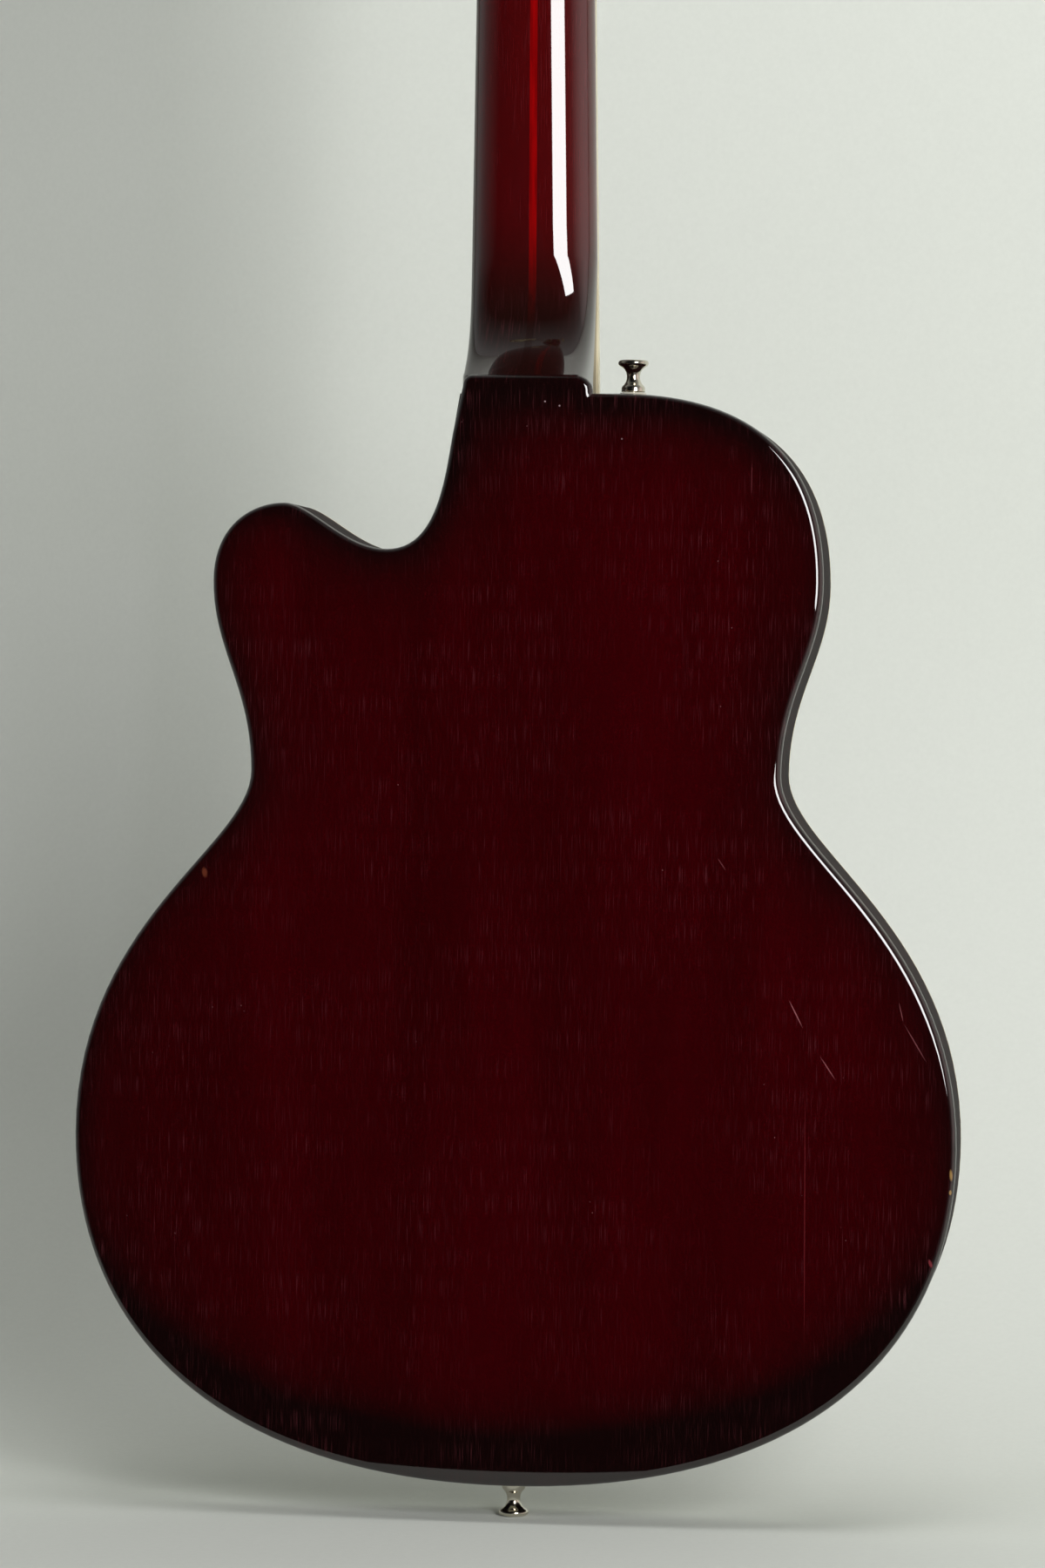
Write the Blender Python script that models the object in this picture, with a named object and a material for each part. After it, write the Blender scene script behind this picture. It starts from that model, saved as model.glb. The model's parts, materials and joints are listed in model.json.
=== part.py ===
# Thin hollow-body electric guitar with one rounded cutaway.
# Frame: +Z up along the neck, front (strings) towards -Y, back towards +Y, cutaway at +X.
# The origin is the centre of the end strap button's outer face.
import math

import bmesh
import bpy
from mathutils import Matrix, Vector

for old in list(bpy.data.objects):
    bpy.data.objects.remove(old)

MM = 0.001

# Clearances
GAP = 0.3 * MM
STRING_GAP = 0.35 * MM
SHAFT_GAP = 0.08 * MM
ARCH_GAP = 0.5 * MM

# Body outline: heights from the tail edge, drops from the shoulder, widths across the centre line
BODY_LENGTH = 433.5 * MM
LOWER_BOUT_WIDTH = 353.0 * MM
LOWER_BOUT_HEIGHT = 137.5 * MM
WAIST_WIDTH = 212.0 * MM
WAIST_DROP = 150.5 * MM
UPPER_BOUT_WIDTH = 244.0 * MM
UPPER_BOUT_DROP = 74.5 * MM
SHOULDER_X = 40.0 * MM
HORN_X = 93.4 * MM
HORN_DROP = 43.5 * MM
CUTAWAY_X = 51.8 * MM
CUTAWAY_DROP = 61.7 * MM
FLANK_X = 25.8 * MM
FLANK_DROP = 15.5 * MM
FLANK_ANGLE = 99.7

# How far each outline curve's two handles reach, as shares of its run
TAIL_CURVE = (0.5185, 0.3665)
WAIST_CURVE = (0.5257, 0.1855)
BOUT_CURVE = (0.4249, 0.3605)
HORN_CURVE = (0.5216, 0.3153)
CUTAWAY_CURVE = (0.2312, 0.3832)
FLANK_CURVE = (0.3811, 0.3396)
SHOULDER_CURVE = (0.4874, 0.4332)

# Steps along each outline curve
TAIL_STEPS = 10
WAIST_STEPS = 8
BOUT_STEPS = 5
HORN_STEPS = 5
CUTAWAY_STEPS = 5
FLANK_STEPS = 6
SHOULDER_STEPS = 8

# Body walls
BODY_DEPTH = 44.5 * MM
PLATE_THICKNESS = 3.4 * MM
RIM_WALL = 3.0 * MM
EDGE_ROUND = 3.0 * MM
BINDING_WIDTH = 1.6 * MM
ARCH_RISE = 9.0 * MM
ARCH_CENTRE_HEIGHT = 200.0 * MM
ARCH_FLAT_SHARE = 0.25
TOP_SHARES = [1.0, 0.92, 0.8, 0.62, 0.42, 0.22]
TONGUE_HEIGHT = 7.5 * MM
TONGUE_BASS_X = 30.0 * MM
TONGUE_TREBLE_CORNER = 4.0 * MM
TONGUE_BASS_CORNER = 7.0 * MM
LINING_WIDTH = 5.0 * MM
LINING_DEPTH = 10.0 * MM
TAIL_BLOCK_WIDTH = 60.0 * MM
TAIL_BLOCK_HEIGHT = 37.5 * MM
NECK_BLOCK_FLOOR = 18.0 * MM
NECK_BLOCK_MARGIN = 8.0 * MM
BAR_WIDTH = 6.0 * MM
BAR_DEPTH = 9.0 * MM
BAR_END_DEPTH = 4.0 * MM
BAR_LOW_X = 50.0 * MM
BAR_HIGH_X = 54.0 * MM
BAR_TAIL_ROOM = 14.0 * MM
BAR_NECK_ROOM = 28.0 * MM

# Sound holes
SOUND_HOLE_X = 88.0 * MM
SOUND_HOLE_LENGTH = 96.0 * MM
SOUND_HOLE_LEAN = 16.0 * MM
SOUND_HOLE_WIDTH = 8.0 * MM
SOUND_HOLE_TIP = 3.2 * MM
SOUND_HOLE_EYE = 13.0 * MM
SOUND_HOLE_EYE_SHIFT = 3.9 * MM

# Strap buttons
BUTTON_LENGTH = 12.6 * MM
BUTTON_FLANGE = 12.2 * MM
BUTTON_RIM = 2.2 * MM
BUTTON_WAIST = 5.2 * MM
BUTTON_COLLAR = 9.4 * MM
BUTTON_FOOT = 2.0 * MM
BUTTON_EASE = 0.8 * MM
BUTTON_SCREW = 4.0 * MM
BUTTON_SCREW_LENGTH = 24.0 * MM
BUTTON_SCREW_POINT = 4.0 * MM
SHOULDER_BUTTON_X = 43.8 * MM
FELT_THICKNESS = 1.2 * MM
FELT_MARGIN = 0.6 * MM

# Tailpiece
BRACKET_SHEET = 1.3 * MM
BRACKET_WIDTH = 11.2 * MM
BRACKET_FRONT_HEIGHT = 16.0 * MM
BRACKET_BACK = 9.0 * MM
BRACKET_STANDOFF = 1.4 * MM
HINGE_PIN = 2.6 * MM
HINGE_KNUCKLE = 6.0 * MM
HINGE_EYE_WIDTH = 5.0 * MM
PIN_OVERHANG = 1.0 * MM
TRAPEZE_ROD = 4.6 * MM
TRAPEZE_HALF_WIDTH = 38.0 * MM
TRAPEZE_LENGTH = 74.0 * MM
TRAPEZE_BEND = 14.0 * MM
TRAPEZE_BEND_X = 34.0 * MM
STRING_BAR_HEIGHT = 10.0 * MM
STRING_BAR_DEPTH = 7.0 * MM
STRING_BAR_OVERHANG = 4.0 * MM
STRING_BAR_STANDOFF = 7.0 * MM
STRING_BAR_SLOT = 2.6 * MM
STRING_TAIL = 2.0 * MM

# Neck
SCALE_LENGTH = 628.65 * MM
JOINT_FRET = 14
FRET_COUNT = 20
NECK_ANGLE = 2.5
NUT_WIDTH = 43.0 * MM
JOINT_WIDTH = 52.8 * MM
NECK_RISE = 13.75 * MM
NECK_DEPTH_NUT = 15.5 * MM
NECK_DEPTH_JOINT = 17.5 * MM
NECK_POWER = 2.0
HEEL_POWER = 5.2
HEEL_END_POWER = 2.2
HEEL_CURVE = 50.0 * MM
HEEL_HOLLOW = 3.0
HEEL_NARROWING = 2.4 * MM
STRIP_WIDTH = 3.0 * MM
STRIP_SHIFT = 1.4 * MM
TENON_WIDTH = 20.0 * MM
TENON_LENGTH = 30.0 * MM
TENON_DEPTH = 26.0 * MM
EXTENSION_LENGTH = 78.0 * MM
EXTENSION_DEPTH = 4.5 * MM
EXTENSION_MARGIN = 2.7 * MM
EXTENSION_ROOT = 6.1 * MM

# Fingerboard, frets and nut
FINGERBOARD = 6.0 * MM
FINGERBOARD_CROWN = 0.9 * MM
FINGERBOARD_TAIL = 6.0 * MM
FRET_WIDTH = 2.3 * MM
FRET_HEIGHT = 1.0 * MM
FRET_TANG = 2.0 * MM
FRET_END = 0.4 * MM
NUT_THICKNESS = 5.0 * MM
NUT_RISE = 2.2 * MM

# Truss rod
TRUSS_CHANNEL = 6.4 * MM
TRUSS_ROD = 4.8 * MM
TRUSS_ROD_DEPTH = 4.4 * MM
TRUSS_CHANNEL_LOW = 9.0 * MM
TRUSS_END_ROOM = 2.0 * MM
TRUSS_NUT = 7.0 * MM
TRUSS_NUT_LENGTH = 6.5 * MM
TRUSS_REACH = 12.0 * MM
TRUSS_POCKET = 26.0 * MM
COVER_THICKNESS = 1.6 * MM
COVER_LOW = 1.5 * MM
COVER_HIGH = 42.0 * MM
COVER_WIDTH = 22.0 * MM
COVER_END_WIDTH = 12.0 * MM

# Headstock
HEAD_ANGLE = 14.0
HEAD_LENGTH = 166.0 * MM
HEAD_DEPTH = 14.0 * MM
HEAD_WIDTH_LOW = 66.0 * MM
HEAD_WIDTH_TOP = 75.0 * MM
HEAD_FLARE = 36.0 * MM
HEAD_CROWN = 18.0 * MM
HEAD_TIP_WIDTH = 28.0 * MM
HEAD_START = 2.0 * MM
HEAD_POWER = 11.4
VENEER = 1.2 * MM
VENEER_START = 5.0 * MM

# Tuners
TUNER_SHARES = [0.253, 0.482, 0.711]
TUNER_X = 21.0 * MM
POST_DIAMETER = 6.2 * MM
POST_RISE = 9.5 * MM
POST_EASE = 0.5 * MM
TUNER_PLATE = 1.2 * MM
TUNER_PLATE_INNER = 8.0 * MM
TUNER_PLATE_OUTER = 9.0 * MM
TUNER_PLATE_LOW = 12.0 * MM
TUNER_PLATE_HIGH = 16.0 * MM
GEAR_TEETH = 14
GEAR_RADIUS = 5.0 * MM
GEAR_TOOTH = 0.8 * MM
GEAR_THICKNESS = 3.2 * MM
GEAR_LIFT = 0.9 * MM
WORM_RADIUS = 2.2 * MM
WORM_HALF_LENGTH = 4.2 * MM
WORM_ROOM = 0.5 * MM
LUG_THICKNESS = 2.8 * MM
LUG_WALL = 1.4 * MM
KEY_SHAFT = 3.0 * MM
KEY_REACH = 14.0 * MM
KEY_COLLAR = 7.2 * MM
KEY_BUTTON_WIDTH = 17.0 * MM
KEY_BUTTON_LENGTH = 13.0 * MM
KEY_BUTTON_EASE = 3.5 * MM
KEY_BUTTON_FLATNESS = 0.42

# Strings, bass to treble
STRING_DIAMETERS = [1.32 * MM, 1.07 * MM, 0.81 * MM, 0.61 * MM, 0.41 * MM, 0.30 * MM]
WOUND_STRING_COUNT = 3
STRING_SPREAD_NUT = 35.0 * MM
STRING_SPREAD_BRIDGE = 52.0 * MM
STRING_HEIGHT_JOINT = 4.6 * MM
WINDING_COUNT = 2
LOOP_POINT_COUNT = 24
WINDING_GAP = 0.5 * MM
WINDING_HEIGHT = 1.4 * MM
SPAN_COUNT = 4

# Bridge
BRIDGE_LENGTH = 148.0 * MM
BRIDGE_DEPTH = 13.0 * MM
BRIDGE_BASE_HEIGHT = 8.0 * MM
BRIDGE_FOOT_ARCH = 2.4 * MM
SADDLE_LENGTH = 128.0 * MM
SADDLE_DEPTH = 9.0 * MM
SADDLE_HEIGHT = 7.0 * MM
SADDLE_CREST = 2.0 * MM
SADDLE_FALL = 2.0 * MM
BRIDGE_POST = 3.8 * MM
BRIDGE_POST_X = 37.0 * MM
POST_SINK = 5.0 * MM
POST_HEAD_ROOM = 1.5 * MM
THUMBWHEEL_RADIUS = 8.0 * MM
THUMBWHEEL_THICKNESS = 2.4 * MM

# Pickup, controls and jack
PICKUP_DROP = 18.0 * MM
PICKUP_LENGTH = 88.0 * MM
PICKUP_WIDTH = 38.0 * MM
PICKUP_RISE = 11.0 * MM
PICKUP_WALL = 1.6 * MM
COIL_DEPTH = 13.0 * MM
PICKUP_CUT_ROOM = 1.2 * MM
KNOB_RADIUS = 11.0 * MM
KNOB_HEIGHT = 13.0 * MM
KNOB_TAPER = 1.0 * MM
POT_SHAFT = 6.0 * MM
POT_BUSH = 9.4 * MM
POT_RADIUS = 12.0 * MM
POT_HEIGHT = 9.0 * MM
VOLUME_INSET = 42.5 * MM
VOLUME_RISE = 14.0 * MM
TONE_INSET = 58.5 * MM
TONE_RISE = -44.0 * MM
JACK_BORE = 6.6 * MM
JACK_BARREL = 11.6 * MM
JACK_LENGTH = 26.0 * MM
JACK_FLANGE = 15.0 * MM
JACK_FLANGE_THICKNESS = 2.0 * MM

# Places worked out from the sizes above
BODY_BOTTOM = BUTTON_LENGTH + GAP + BRACKET_SHEET + GAP
SHOULDER_Z = BODY_BOTTOM + BODY_LENGTH
BACK_Y = BODY_DEPTH / 2
FRONT_Y = -BODY_DEPTH / 2
BACK_INNER_Y = BACK_Y - PLATE_THICKNESS
RIM_BACK_Y = BACK_INNER_Y - GAP
RIM_FRONT_Y = FRONT_Y + PLATE_THICKNESS + GAP
NUT_ALONG = SCALE_LENGTH * (1 - 2 ** (-JOINT_FRET / 12))
FINGERBOARD_END = NUT_ALONG - SCALE_LENGTH * (1 - 2 ** (-FRET_COUNT / 12)) - FINGERBOARD_TAIL
NUT_BACK = NUT_ALONG + NUT_THICKNESS - 2 * GAP
NECK_FRAME = Matrix.Translation((0, FRONT_Y - NECK_RISE, SHOULDER_Z)) @ Matrix.Rotation(
    math.radians(-NECK_ANGLE), 4, "X"
)
HEAD_FRAME = (
    NECK_FRAME
    @ Matrix.Translation((0, FINGERBOARD, NUT_ALONG + NUT_THICKNESS))
    @ Matrix.Rotation(math.radians(-HEAD_ANGLE), 4, "X")
)
BRIDGE_Z = (NECK_FRAME @ Vector((0, 0, NUT_ALONG - SCALE_LENGTH))).z
BEYOND = 1000.0 * MM

# Colour, roughness and metallic value of each finish
FINISHES = {
    "cherry": ((0.10, 0.008, 0.010), 0.15, 0.0),
    "maple": ((0.35, 0.02, 0.015), 0.15, 0.0),
    "spruce": ((0.55, 0.38, 0.20), 0.7, 0.0),
    "cream": ((0.80, 0.70, 0.50), 0.3, 0.0),
    "rosewood": ((0.06, 0.025, 0.015), 0.45, 0.0),
    "nickel": ((0.62, 0.60, 0.55), 0.25, 1.0),
    "steel": ((0.50, 0.50, 0.50), 0.3, 1.0),
    "black": ((0.012, 0.012, 0.012), 0.25, 0.0),
    "bone": ((0.78, 0.74, 0.62), 0.4, 0.0),
    "felt": ((0.70, 0.68, 0.60), 0.9, 0.0),
    "brass": ((0.60, 0.42, 0.16), 0.3, 1.0),
}
SHARP_ANGLE = 35.0


def finish(piece, kind):
    colour, roughness, metallic = FINISHES[kind]
    material = bpy.data.materials.new(piece.name + "_finish")
    material.use_nodes = True
    shader = material.node_tree.nodes["Principled BSDF"]
    shader.inputs["Base Color"].default_value = (*colour, 1.0)
    shader.inputs["Roughness"].default_value = roughness
    shader.inputs["Metallic"].default_value = metallic
    piece.data.materials.append(material)


def show(piece, kind):
    """Gives a piece its finish, or marks it as a cutter or a guide where kind is None."""
    bpy.context.scene.collection.objects.link(piece)
    if kind is None:
        piece.hide_render = True
        piece.display_type = "WIRE"
    else:
        finish(piece, kind)
    return piece


def add_mesh(name, points, faces, kind=None, frame=None):
    mesh = bpy.data.meshes.new(name)
    mesh.from_pydata([tuple(p) for p in points], [], faces)
    shape = bmesh.new()
    shape.from_mesh(mesh)
    bmesh.ops.recalc_face_normals(shape, faces=shape.faces)
    shape.to_mesh(mesh)
    shape.free()
    mesh.shade_smooth()
    mesh.set_sharp_from_angle(angle=math.radians(SHARP_ANGLE))
    piece = bpy.data.objects.new(name, mesh)
    if frame is not None:
        piece.matrix_world = frame
    return show(piece, kind)


def combine(piece, tool, operation="DIFFERENCE"):
    change = piece.modifiers.new(operation.lower(), "BOOLEAN")
    change.operation = operation
    change.solver = "EXACT"
    change.object = tool
    return piece


def skin(loops, ring=False):
    """Faces over a row of loops with as many points each, closed at its ends or into a ring."""
    count = len(loops[0])
    points = [p for loop in loops for p in loop]
    faces = []
    for level in range(len(loops) if ring else len(loops) - 1):
        low = level * count
        high = ((level + 1) % len(loops)) * count
        for k in range(count):
            after = (k + 1) % count
            faces.append((low + k, low + after, high + after, high + k))
    if not ring:
        faces.append(tuple(range(count)))
        faces.append(tuple(range((len(loops) - 1) * count, len(loops) * count)))
    return points, faces


def box(name, low, high, kind=None, frame=None):
    corners = [(low[0], low[1]), (high[0], low[1]), (high[0], high[1]), (low[0], high[1])]
    loops = [[(x, y, z) for x, y in corners] for z in (low[2], high[2])]
    return add_mesh(name, *skin(loops), kind, frame)


# Turns that lay a turned piece's own Z along an axis
AXES = {
    "X": Matrix.Rotation(math.radians(90), 4, "Y"),
    "Y": Matrix.Rotation(math.radians(-90), 4, "X"),
    "Z": Matrix.Identity(4),
}


def round_loop(radius, height, sides, flatness=1.0):
    loop = []
    for k in range(sides):
        angle = 2 * math.pi * k / sides
        loop.append((flatness * radius * math.cos(angle), radius * math.sin(angle), height))
    return loop


def laid(place, axis, frame):
    base = frame if frame is not None else Matrix.Identity(4)
    return base @ Matrix.Translation(place) @ AXES[axis]


def turned(name, profile, place, axis="Z", kind=None, frame=None, sides=20):
    """A turned solid: profile is a list of (radius, height) from one end to the other."""
    loops = [round_loop(radius, height, sides) for radius, height in profile]
    return add_mesh(name, *skin(loops), kind, laid(place, axis, frame))


def tube(name, profile, bore, place, axis="Z", kind=None, frame=None, sides=20):
    """A turned solid with a straight bore right through it."""
    full = [(bore, profile[0][1])] + profile + [(bore, profile[-1][1])]
    loops = [round_loop(radius, height, sides) for radius, height in full]
    return add_mesh(name, *skin(loops, ring=True), kind, laid(place, axis, frame))


def drill(name, radius, reach, place, axis="Z", frame=None, sides=12):
    """A round cutter that reaches from one height to another along its axis."""
    return turned(name, [(radius, reach[0]), (radius, reach[1])], place, axis, None, frame, sides)


# Outline of the body
def place_at(x, height):
    return Vector((x, BODY_BOTTOM + height))


def heading(angle):
    return Vector((math.cos(math.radians(angle)), math.sin(math.radians(angle))))


def curve(low, high, shares, steps):
    """Points from one place and heading up to, and without, the next."""
    start, out_angle = low
    end, in_angle = high
    run = (end - start).length
    first = start + heading(out_angle) * shares[0] * run
    last = end - heading(in_angle) * shares[1] * run
    points = []
    for k in range(steps):
        t = k / steps
        points.append(
            start * (1 - t) ** 3
            + first * 3 * t * (1 - t) ** 2
            + last * 3 * t * t * (1 - t)
            + end * t ** 3
        )
    return points


def flank_x(height):
    """Where the straight flank beside the neck runs, at a height above the tail."""
    rise = height - (BODY_LENGTH - FLANK_DROP)
    return FLANK_X + rise / math.tan(math.radians(FLANK_ANGLE))


CORNER_STEPS = 3


def body_outline(tongue=False):
    """Outline in X and Z, from the tail up the cutaway side and down the bass side."""
    tail = (place_at(0, 0), 0)
    lower_bout = (place_at(LOWER_BOUT_WIDTH / 2, LOWER_BOUT_HEIGHT), 90)
    waist = (place_at(WAIST_WIDTH / 2, BODY_LENGTH - WAIST_DROP), 90)
    upper_bout = (place_at(UPPER_BOUT_WIDTH / 2, BODY_LENGTH - UPPER_BOUT_DROP), 90)
    horn = (place_at(HORN_X, BODY_LENGTH - HORN_DROP), 180)
    cutaway = (place_at(CUTAWAY_X, BODY_LENGTH - CUTAWAY_DROP), 180)
    flank = (place_at(FLANK_X, BODY_LENGTH - FLANK_DROP), FLANK_ANGLE)
    shoulder = (place_at(SHOULDER_X, BODY_LENGTH), 180)
    bouts = curve(tail, lower_bout, TAIL_CURVE, TAIL_STEPS)
    bouts += curve(lower_bout, waist, WAIST_CURVE, WAIST_STEPS)
    bouts += curve(waist, upper_bout, BOUT_CURVE, BOUT_STEPS)
    treble = bouts + curve(upper_bout, horn, HORN_CURVE, HORN_STEPS)
    treble += curve(horn, cutaway, CUTAWAY_CURVE, CUTAWAY_STEPS)
    treble += curve(cutaway, flank, FLANK_CURVE, FLANK_STEPS)
    treble.append(flank[0])
    bass = bouts + curve(upper_bout, shoulder, SHOULDER_CURVE, SHOULDER_STEPS)
    bass.append(shoulder[0])
    crest = []
    if tongue:
        top = BODY_LENGTH + TONGUE_HEIGHT
        corners = (
            (flank_x(top) - TONGUE_TREBLE_CORNER, TONGUE_TREBLE_CORNER, 0),
            (TONGUE_BASS_CORNER - TONGUE_BASS_X, TONGUE_BASS_CORNER, 90),
        )
        for x, radius, start in corners:
            for k in range(CORNER_STEPS + 1):
                reach = heading(start + 90 * k / CORNER_STEPS) * radius
                crest.append(place_at(x, top - radius) + reach)
        crest.append(place_at(-TONGUE_BASS_X, BODY_LENGTH))
    else:
        crest.append(place_at(flank_x(BODY_LENGTH), BODY_LENGTH))
    mirrored = [Vector((-p.x, p.y)) for p in reversed(bass[1:])]
    return treble + crest + mirrored


def inset(outline, distance):
    """Every corner moved inwards, square to its two sides."""
    moved = []
    count = len(outline)
    for k, here in enumerate(outline):
        before = (here - outline[k - 1]).normalized()
        after = (outline[(k + 1) % count] - here).normalized()
        inward = Vector((-before.y - after.y, before.x + after.x)).normalized()
        share = inward.dot(Vector((-before.y, before.x)))
        moved.append(here + inward * distance / share)
    return moved


def at_depth(outline, y):
    return [(p.x, y, p.y) for p in outline]


def band(name, outer, inner, front, back, kind=None):
    """A wall that follows two outlines, from one depth to another."""
    loops = [at_depth(outer, front), at_depth(outer, back)]
    loops += [at_depth(inner, back), at_depth(inner, front)]
    return add_mesh(name, *skin(loops, ring=True), kind)


OUTLINE = body_outline()

# Back plate, with the tongue that covers the heel
back_outline = body_outline(tongue=True)
back_loops = [at_depth(back_outline, BACK_INNER_Y)]
for k in range(CORNER_STEPS):
    angle = math.radians(90 * k / (CORNER_STEPS - 1))
    shrink = EDGE_ROUND * (1 - math.cos(angle))
    level = BACK_Y - EDGE_ROUND * (1 - math.sin(angle))
    back_loops.append(at_depth(inset(back_outline, shrink), level))
add_mesh("back_plate", *skin(back_loops), "cherry")

# Rim and the binding round the top's edge
rim = band("rim", OUTLINE, inset(OUTLINE, RIM_WALL), RIM_FRONT_Y, RIM_BACK_Y, "cherry")
band(
    "top_binding",
    OUTLINE,
    inset(OUTLINE, BINDING_WIDTH),
    FRONT_Y,
    FRONT_Y + PLATE_THICKNESS,
    "cream",
)

# Arched top plate: rings that shrink towards the arch's centre
ARCH_CENTRE = place_at(0, ARCH_CENTRE_HEIGHT)
top_outline = inset(OUTLINE, BINDING_WIDTH + GAP)


def arch_rise(share):
    """Height of the arch over the edge, share being 1 at the edge and 0 at its centre."""
    t = min((1 - share) / (1 - ARCH_FLAT_SHARE), 1.0)
    return ARCH_RISE * t * t * (3 - 2 * t)


def ring_rise(share):
    """The arch as its flat facets have it, straight from ring to ring."""
    for outer, inner in zip(TOP_SHARES[:-1], TOP_SHARES[1:]):
        if share >= inner:
            t = (outer - share) / (outer - inner)
            return arch_rise(outer) * (1 - t) + arch_rise(inner) * t
    return arch_rise(TOP_SHARES[-1])


def top_share(x, z):
    """How far out a point of the top lies on the ray from the arch's centre to the edge."""
    away = Vector((x, z)) - ARCH_CENTRE
    for corner, after in zip(top_outline, top_outline[1:] + top_outline[:1]):
        out = corner - ARCH_CENTRE
        edge = after - corner
        cross = away.x * edge.y - away.y * edge.x
        if cross > 0:
            reach = (out.x * edge.y - out.y * edge.x) / cross
            along = (out.x * away.y - out.y * away.x) / cross
            if reach > 0 and 0 <= along <= 1:
                return 1 / reach
    return 0.0


def top_front(x, z):
    return FRONT_Y - ring_rise(top_share(x, z))


def frontmost(x, z, half_width, half_height):
    """The furthest forward that the top comes under a small patch."""
    patch = [(x + i * half_width, z + j * half_height) for i in (-1, 0, 1) for j in (-1, 0, 1)]
    return min(top_front(*corner) for corner in patch)


def rearmost(x, z, half_width, half_height):
    """The furthest back that the top's front face lies under a small patch."""
    patch = [(x + i * half_width, z + j * half_height) for i in (-1, 0, 1) for j in (-1, 0, 1)]
    return max(top_front(*corner) for corner in patch)


def top_loop(share, depth):
    loop = []
    for corner in top_outline:
        place = ARCH_CENTRE + (corner - ARCH_CENTRE) * share
        loop.append((place.x, FRONT_Y - arch_rise(share) + depth, place.y))
    return loop


top_loops = [top_loop(share, 0.0) for share in reversed(TOP_SHARES)]
top_loops += [top_loop(share, PLATE_THICKNESS) for share in TOP_SHARES]
top_plate = add_mesh("top_plate", *skin(top_loops), "cherry")


def through_top(name, outline):
    loops = [at_depth(outline, FRONT_Y - 2 * ARCH_RISE), at_depth(outline, BACK_INNER_Y / 2)]
    combine(top_plate, add_mesh(name, *skin(loops)))


HOLE_SIDES = 16


def circle(x, z, radius):
    loop = []
    for k in range(HOLE_SIDES):
        angle = 360 * k / HOLE_SIDES
        loop.append(Vector((x, z)) + heading(angle) * radius)
    return loop


# Sound holes, each a leaning slot with an eye at both ends
SLOT_STEPS = 8


def slot_centre(t):
    """Centre of the treble slot, t being 0 at its low end and 1 at its high end."""
    x = SOUND_HOLE_X - (t - 0.5) * SOUND_HOLE_LEAN
    return Vector((x, BRIDGE_Z + (t - 0.5) * SOUND_HOLE_LENGTH))


def eye_centre(end):
    shift = SOUND_HOLE_EYE_SHIFT if end == 0 else -SOUND_HOLE_EYE_SHIFT
    return slot_centre(end) + Vector((shift, 0))


for side_name, side in (("bass", -1), ("treble", 1)):
    edges = {-1: [], 1: []}
    for k in range(SLOT_STEPS + 1):
        t = k / SLOT_STEPS
        width = SOUND_HOLE_TIP + (SOUND_HOLE_WIDTH - SOUND_HOLE_TIP) * math.sin(math.pi * t)
        for edge in edges:
            place = slot_centre(t) + Vector((edge * width / 2, 0))
            edges[edge].append(Vector((side * place.x, place.y)))
    through_top("slot_cut_" + side_name, edges[1] + edges[-1][::-1])
    for end_name, end in (("low", 0), ("high", 1)):
        eye = eye_centre(end)
        through_top(
            "eye_cut_" + end_name + "_" + side_name,
            circle(side * eye.x, eye.y, SOUND_HOLE_EYE / 2),
        )

# Places of the pickup and the controls, and the top's cuts for them
PICKUP_Z = SHOULDER_Z + FINGERBOARD_END - PICKUP_DROP - PICKUP_WIDTH / 2
COIL_LENGTH = PICKUP_LENGTH - 2 * PICKUP_WALL - 2 * GAP
COIL_WIDTH = PICKUP_WIDTH - 2 * PICKUP_WALL - 2 * GAP
half_length = COIL_LENGTH / 2 + PICKUP_CUT_ROOM
half_width = COIL_WIDTH / 2 + PICKUP_CUT_ROOM
through_top(
    "pickup_cut",
    [
        Vector((-half_length, PICKUP_Z - half_width)),
        Vector((half_length, PICKUP_Z - half_width)),
        Vector((half_length, PICKUP_Z + half_width)),
        Vector((-half_length, PICKUP_Z + half_width)),
    ],
)
WIDEST = place_at(LOWER_BOUT_WIDTH / 2, LOWER_BOUT_HEIGHT)
KNOB_PLACES = {
    "volume": (WIDEST.x - VOLUME_INSET, WIDEST.y + VOLUME_RISE),
    "tone": (WIDEST.x - TONE_INSET, WIDEST.y + TONE_RISE),
}
for name, (x, z) in KNOB_PLACES.items():
    through_top("bush_cut_" + name, circle(x, z, POT_BUSH / 2 + GAP))

# Blocks inside the rim
inside = inset(OUTLINE, RIM_WALL + GAP)
inside_form = add_mesh(
    "inside_form", *skin([at_depth(inside, 2 * FRONT_Y), at_depth(inside, 2 * BACK_Y)])
)
TAIL_BLOCK_TOP = BODY_BOTTOM + TAIL_BLOCK_HEIGHT
NECK_BLOCK_LOW = SHOULDER_Z - TENON_LENGTH - NECK_BLOCK_FLOOR
NECK_BLOCK_BASS = SHOULDER_BUTTON_X + NECK_BLOCK_MARGIN
tail_block = box(
    "tail_block",
    (-TAIL_BLOCK_WIDTH / 2, RIM_FRONT_Y, 0),
    (TAIL_BLOCK_WIDTH / 2, RIM_BACK_Y, TAIL_BLOCK_TOP),
    "spruce",
)
combine(tail_block, inside_form, "INTERSECT")
neck_block = box(
    "neck_block",
    (-NECK_BLOCK_BASS, RIM_FRONT_Y, NECK_BLOCK_LOW),
    (CUTAWAY_X, RIM_BACK_Y, SHOULDER_Z + TONGUE_HEIGHT),
    "spruce",
)
combine(neck_block, inside_form, "INTERSECT")

# Mortise for the neck's tenon
mortise = box(
    "mortise",
    (-TENON_WIDTH / 2 - GAP, -TENON_DEPTH / 2 - GAP, SHOULDER_Z - TENON_LENGTH - GAP),
    (TENON_WIDTH / 2 + GAP, TENON_DEPTH / 2 + GAP, SHOULDER_Z + 2 * TONGUE_HEIGHT),
)
combine(neck_block, mortise)
combine(rim, mortise)

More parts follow.
